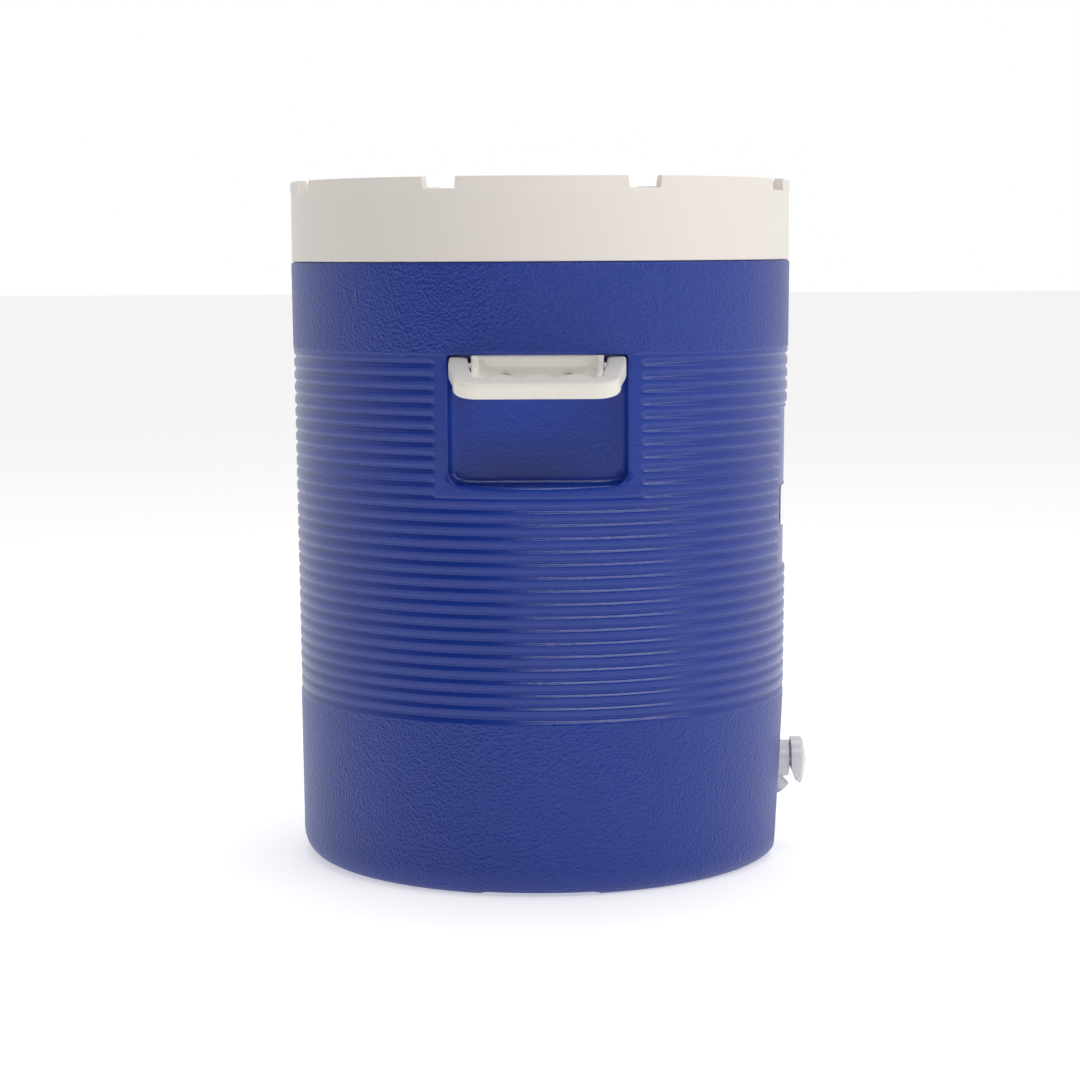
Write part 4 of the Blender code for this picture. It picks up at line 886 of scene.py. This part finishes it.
def bracket_scoop(side_name, side):
    """Depth over a grid: the back's, eased out to the ear's near each side and at the top."""
    low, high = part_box(side_name + "_handle_bracket")
    half, columns, rows = high.x, 65, 29
    across = half * np.sin(np.linspace(-1, 1, columns) * math.pi / 2)
    height = low.z + (high.z - low.z) * np.sin(np.linspace(0, 1, rows) * math.pi / 2)
    x, z = np.meshgrid(across, height)
    wall_out, ear_out = HANDLE_BACK + 0.3 * MM, PIVOT_OUT + 7.2 * MM
    below = np.clip((PIVOT_HEIGHT - z) / (PIVOT_HEIGHT - low.z), 0, 1)
    ear = ear_out - (ear_out - wall_out - 6 * MM) * below**1.5
    ear = ear - np.clip(np.abs(x) - half + 1.2 * MM, 0, 1.2 * MM) ** 2 / (1.2 * MM)
    plate = wall_out + 3 * MM
    side_rise = smooth((np.abs(x) - half + 13 * MM) / (9 * MM))
    top_rise = smooth((z - high.z + 9 * MM) / (8 * MM))
    out = plate + (ear - plate) * np.maximum(side_rise, 0.9 * top_rise)
    front = np.stack([x, side * out, z], axis=-1)
    back = np.stack([x, side * np.full_like(out, wall_out), z], axis=-1)
    return make_piece(
        side_name + "_bracket_scoop", np.array([back, front]), sheet_faces(rows, columns),
        "cooler_body", [side_name + "_handle_bracket"], 50, HANDLE_WHITE,
    )


for side_name, side in SIDES:
    bracket_scoop(side_name, side)

# %% [markdown]
# ## The tap
# Barrel, spout and button are turned pieces with softened edges. The button's outline is a disc
# that runs down into a pointed tail, and its face is slightly domed.

# %% Tap


TAP_END = 213.5 * MM


def turned_on_tap(profile, sides):
    """Spin (radius, x) pairs about the tap's axis."""
    ring = revolve(profile, even_turn(sides))
    return np.stack([ring[..., 2], ring[..., 1], TAP_HEIGHT + ring[..., 0]], axis=-1)


def tap_barrel():
    """Shank, flange and barrel as one turned ring, bored through."""
    bore, shank, flange, barrel, mouth = 6.5 * MM, 9.5 * MM, 21.5 * MM, 15.75 * MM, 12.7 * MM
    back, end = 190 * MM, TAP_END
    profile = [(bore, tap_low.x), (shank, tap_low.x), (shank, back)]
    profile += quarter_arc((flange - 1 * MM, back + 1 * MM), 1 * MM, -90, 0, 4)
    profile += quarter_arc((flange - 1 * MM, back + 2 * MM), 1 * MM, 0, 90, 4)
    profile += quarter_arc((barrel + 1.5 * MM, back + 4.5 * MM), 1.5 * MM, -90, -180, 4)
    profile += quarter_arc((barrel - 0.8 * MM, end - 0.8 * MM), 0.8 * MM, 0, 90, 4)
    profile += [(mouth, end), (mouth, back + 5.2 * MM), (bore, back + 5.2 * MM)]
    points = turned_on_tap(profile, 72)
    return make_piece(
        "tap_barrel", points, ring_grid(points), "cooler_body", ["tap_body"], 40, TAP_WHITE
    )


def tap_spout():
    """A tube carried along the spout's slant, open at its mouth and closed inside the barrel."""
    slope = math.radians(49)
    mouth = np.array([209.1 * MM, 0.0, TAP_HEIGHT - 26.6 * MM])
    along = np.array([math.cos(slope), 0.0, -math.sin(slope)])
    across = np.array([math.sin(slope), 0.0, math.cos(slope)])
    outside = [(6.7, -17.0), (6.7, -0.6), (6.4, -0.15), (6.1, 0.0)]
    inside = [(5.2, 0.0), (4.9, -0.3), (4.9, -16.0)]
    radius, reach = (np.array(outside + inside) * MM).T[:, :, None, None]
    turn = even_turn(48)
    spoke = across[None] * np.cos(turn)[:, None] + np.array([0, 1, 0])[None] * np.sin(turn)[:, None]
    points = mouth + reach * along + radius * spoke[None]
    return make_piece(
        "tap_spout", points, ring_grid(points, wrap_rows=False), "cooler_body",
        (), 40, TAP_WHITE,
    )


BUTTON_DISC, BUTTON_TIP = 18.8 * MM, 22.5 * MM


def button_outline(count):
    """A disc with a pointed tail: outside the tail's angles the radius is constant."""
    rounding = 2 * MM
    angle = np.radians(np.linspace(-25, 205, count))
    points = [(BUTTON_DISC * math.cos(a), BUTTON_DISC * math.sin(a)) for a in angle]
    tail = np.radians(np.linspace(220, 320, 9))
    low = BUTTON_TIP - rounding
    points += [(rounding * math.cos(a), rounding * math.sin(a) - low) for a in tail]
    return np.array(points)


def tap_button():
    """Rings from the cavity forward: the back edge, straight sides, a rounded edge and a dome."""
    outline = button_outline(64)
    back, front = button_low.x, button_low.x + 11 * MM
    edge, dome, slope_high, slope_deep = 3.2 * MM, 2.9 * MM, 7.2 * MM, 8.5 * MM
    cavity, cavity_deep = 0.875, 5.6 * MM
    rows = [(cavity, back + cavity_deep), (cavity, back), (1.0, back), (1.0, front - edge)]
    for a in np.linspace(0, math.pi / 2, 6)[1:]:
        rows.append((1 - edge / BUTTON_DISC * (1 - math.cos(a)), front - edge * (1 - math.sin(a))))
    for share in (0.70, 0.60, 0.45, 0.30, 0.15, 0.02):
        rows.append((share, front + dome * (1 - (share / 0.72) ** 2)))
    points = []
    for scale, x in rows:
        y, z = outline.T * scale
        points.append(np.stack([np.full_like(y, x), y, TAP_HEIGHT + z], axis=-1))
    points = np.array(points)
    # the slope behind the tail
    low = TAP_HEIGHT - BUTTON_TIP
    depth = np.clip((low + slope_high - points[..., 2]) / slope_high, 0, 1) * slope_deep
    points[..., 0] = np.maximum(points[..., 0], np.minimum(back + depth, front - 1.0 * MM))
    return make_piece(
        "tap_push_button", points, ring_grid(points, wrap_rows=False), "tap_plunger",
        ["tap_button"], 40, TAP_WHITE,
    )


tap_barrel()
tap_spout()
tap_button()

# %% [markdown]
# ## The label
# A blank film sticker lies on the smooth panel. It is a thin patch bent round the wall, with its
# corners rounded.

# %% Label


def label_patch():
    """Square grid squeezed at its corners, then bent round the body's radius."""
    height = label_high.z - label_low.z
    half_angle = math.asin(label_high.y / math.hypot(label_high.y, label_low.x))
    rows, columns = 17, 41
    u, v = np.meshgrid(np.linspace(-1, 1, columns), np.linspace(-1, 1, rows))
    corner, under, film = 3 * MM, 0.3 * MM, 0.4 * MM
    width = half_angle * BODY_RADIUS
    tall = height / 2
    over_v = np.clip(np.abs(v) * tall - (tall - corner), 0, corner)
    shrink = corner - np.sqrt(corner**2 - over_v**2)
    angle = u * (width - shrink) / BODY_RADIUS
    z = (label_low.z + label_high.z) / 2 + v * tall
    radius = wall_radius(z) - RIB_STEP - RIB_DEPTH - RIB_STEP + under
    layers = []
    for lift in (0.0, film):
        r = radius + lift
        layers.append(np.stack([r * np.cos(angle), r * np.sin(angle), z], axis=-1))
    return make_piece(
        "label_film", np.array(layers), sheet_faces(rows, columns), "cooler_body",
        ["blank_label"], 40, LABEL_WHITE,
    )


label_patch()

for thing in list(bpy.data.objects):
    if thing.type == "MESH" and "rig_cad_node" not in thing:
        volume = outward_faces(thing)
        print(thing.name, "volume in ml:", round(abs(volume) * 1e6, 1))

# %% [markdown]
# ## Floor and light
# A pale floor and a bright room stand in for a studio. A long strip lamp high in front draws the
# highlights along the ribs, a small lamp at the right lifts that edge, and one overhead lights the
# lid.

# %% Floor and light

LOOK_AT = Vector((0.0, 0.0, 0.266))


def pale_floor():
    reach = 30.0
    points = reach * np.array([[-1, -1, 0], [1, -1, 0], [1, 1, 0], [-1, 1, 0]])
    mesh = bpy.data.meshes.new("floor")
    mesh.from_pydata(points.tolist(), [], [[0, 1, 2, 3]])
    floor = bpy.data.objects.new("floor", mesh)
    bpy.context.scene.collection.objects.link(floor)
    # a white acrylic sheet with some light of its own from below
    glow = {"Emission_Color": linear("#ffffff"), "Emission_Strength": 0.5}
    material = finish_named("lit_white_acrylic", "#dcdcdc", 0.9, **glow)[0]
    mesh.materials.append(material)
    return floor


def soft_lamp(name, place, wide, tall, watts, target=LOOK_AT):
    """A lamp of this width and height, turned to face the cooler."""
    lamp = bpy.data.lights.new(name, "AREA")
    lamp.shape = "RECTANGLE"
    lamp.size, lamp.size_y = wide, tall
    lamp.energy = watts
    thing = bpy.data.objects.new(name, lamp)
    thing.location = place
    thing.rotation_euler = (target - Vector(place)).to_track_quat("-Z", "Y").to_euler()
    bpy.context.scene.collection.objects.link(thing)
    return thing


pale_floor()


def white_room():
    """Light by direction: dim towards the front, white behind. What the camera sees is white."""
    world = bpy.data.worlds.new("studio")
    bpy.context.scene.world = world
    world.use_nodes = True
    tree = world.node_tree
    shown = tree.nodes["Background"]
    shown.inputs["Color"].default_value = linear("#ffffff")
    direction = add(tree, "ShaderNodeTexCoord").outputs["Generated"]
    back = add(tree, "ShaderNodeSeparateXYZ", links={0: direction}).outputs["Y"]
    ease = {"interpolation_type": "SMOOTHSTEP", "From Min": -0.5, "From Max": 0.5}
    ease |= {"To Min": 0.08, "To Max": 0.95}
    level = add(tree, "ShaderNodeMapRange", ease, {"Value": back}).outputs[0]
    lit = add(tree, "ShaderNodeBackground", {"Color": linear("#ffffff")}, {"Strength": level})
    seen = add(tree, "ShaderNodeLightPath").outputs["Is Camera Ray"]
    both = add(tree, "ShaderNodeMixShader", links={0: seen, 1: lit.outputs[0], 2: shown.outputs[0]})
    tree.links.new(both.outputs[0], tree.nodes["World Output"].inputs["Surface"])
    return world


white_room()
bpy.context.scene.view_settings.view_transform = "Standard"
soft_lamp("key_strip", (0.9, -1.6, 1.95), 3.0, 0.3, 27)
soft_lamp("side_lamp", (2.4, -0.9, 1.2), 0.8, 0.8, 5)
soft_lamp("top_lamp", (0.0, 0.5, 3.2), 1.6, 1.6, 26, Vector((0.0, 0.0, 0.0)))

# %% [markdown]
# ## Camera
# It looks square on to the right handle, from the height of the shoulder, through a long lens.

# %% Camera


def studio_camera():
    """A long lens 2.31 m from the cooler's middle, just above its shoulder, tipped down."""
    distance, height = 2.31, 0.515
    yaw, pitch, roll = math.radians(0.8), math.radians(6.15), math.radians(-0.3)
    camera = bpy.data.cameras.new("studio_camera")
    camera.sensor_width = 36.0
    camera.lens = 89.7
    thing = bpy.data.objects.new("studio_camera", camera)
    place = Vector((distance * math.sin(yaw) - 1.5 * MM, -distance * math.cos(yaw), height))
    turn = Matrix.Rotation(yaw, 4, "Z") @ Matrix.Rotation(math.pi / 2 - pitch, 4, "X")
    thing.matrix_world = Matrix.Translation(place) @ turn @ Matrix.Rotation(roll, 4, "Z")
    bpy.context.scene.collection.objects.link(thing)
    bpy.context.scene.camera = thing
    return thing


studio_camera()
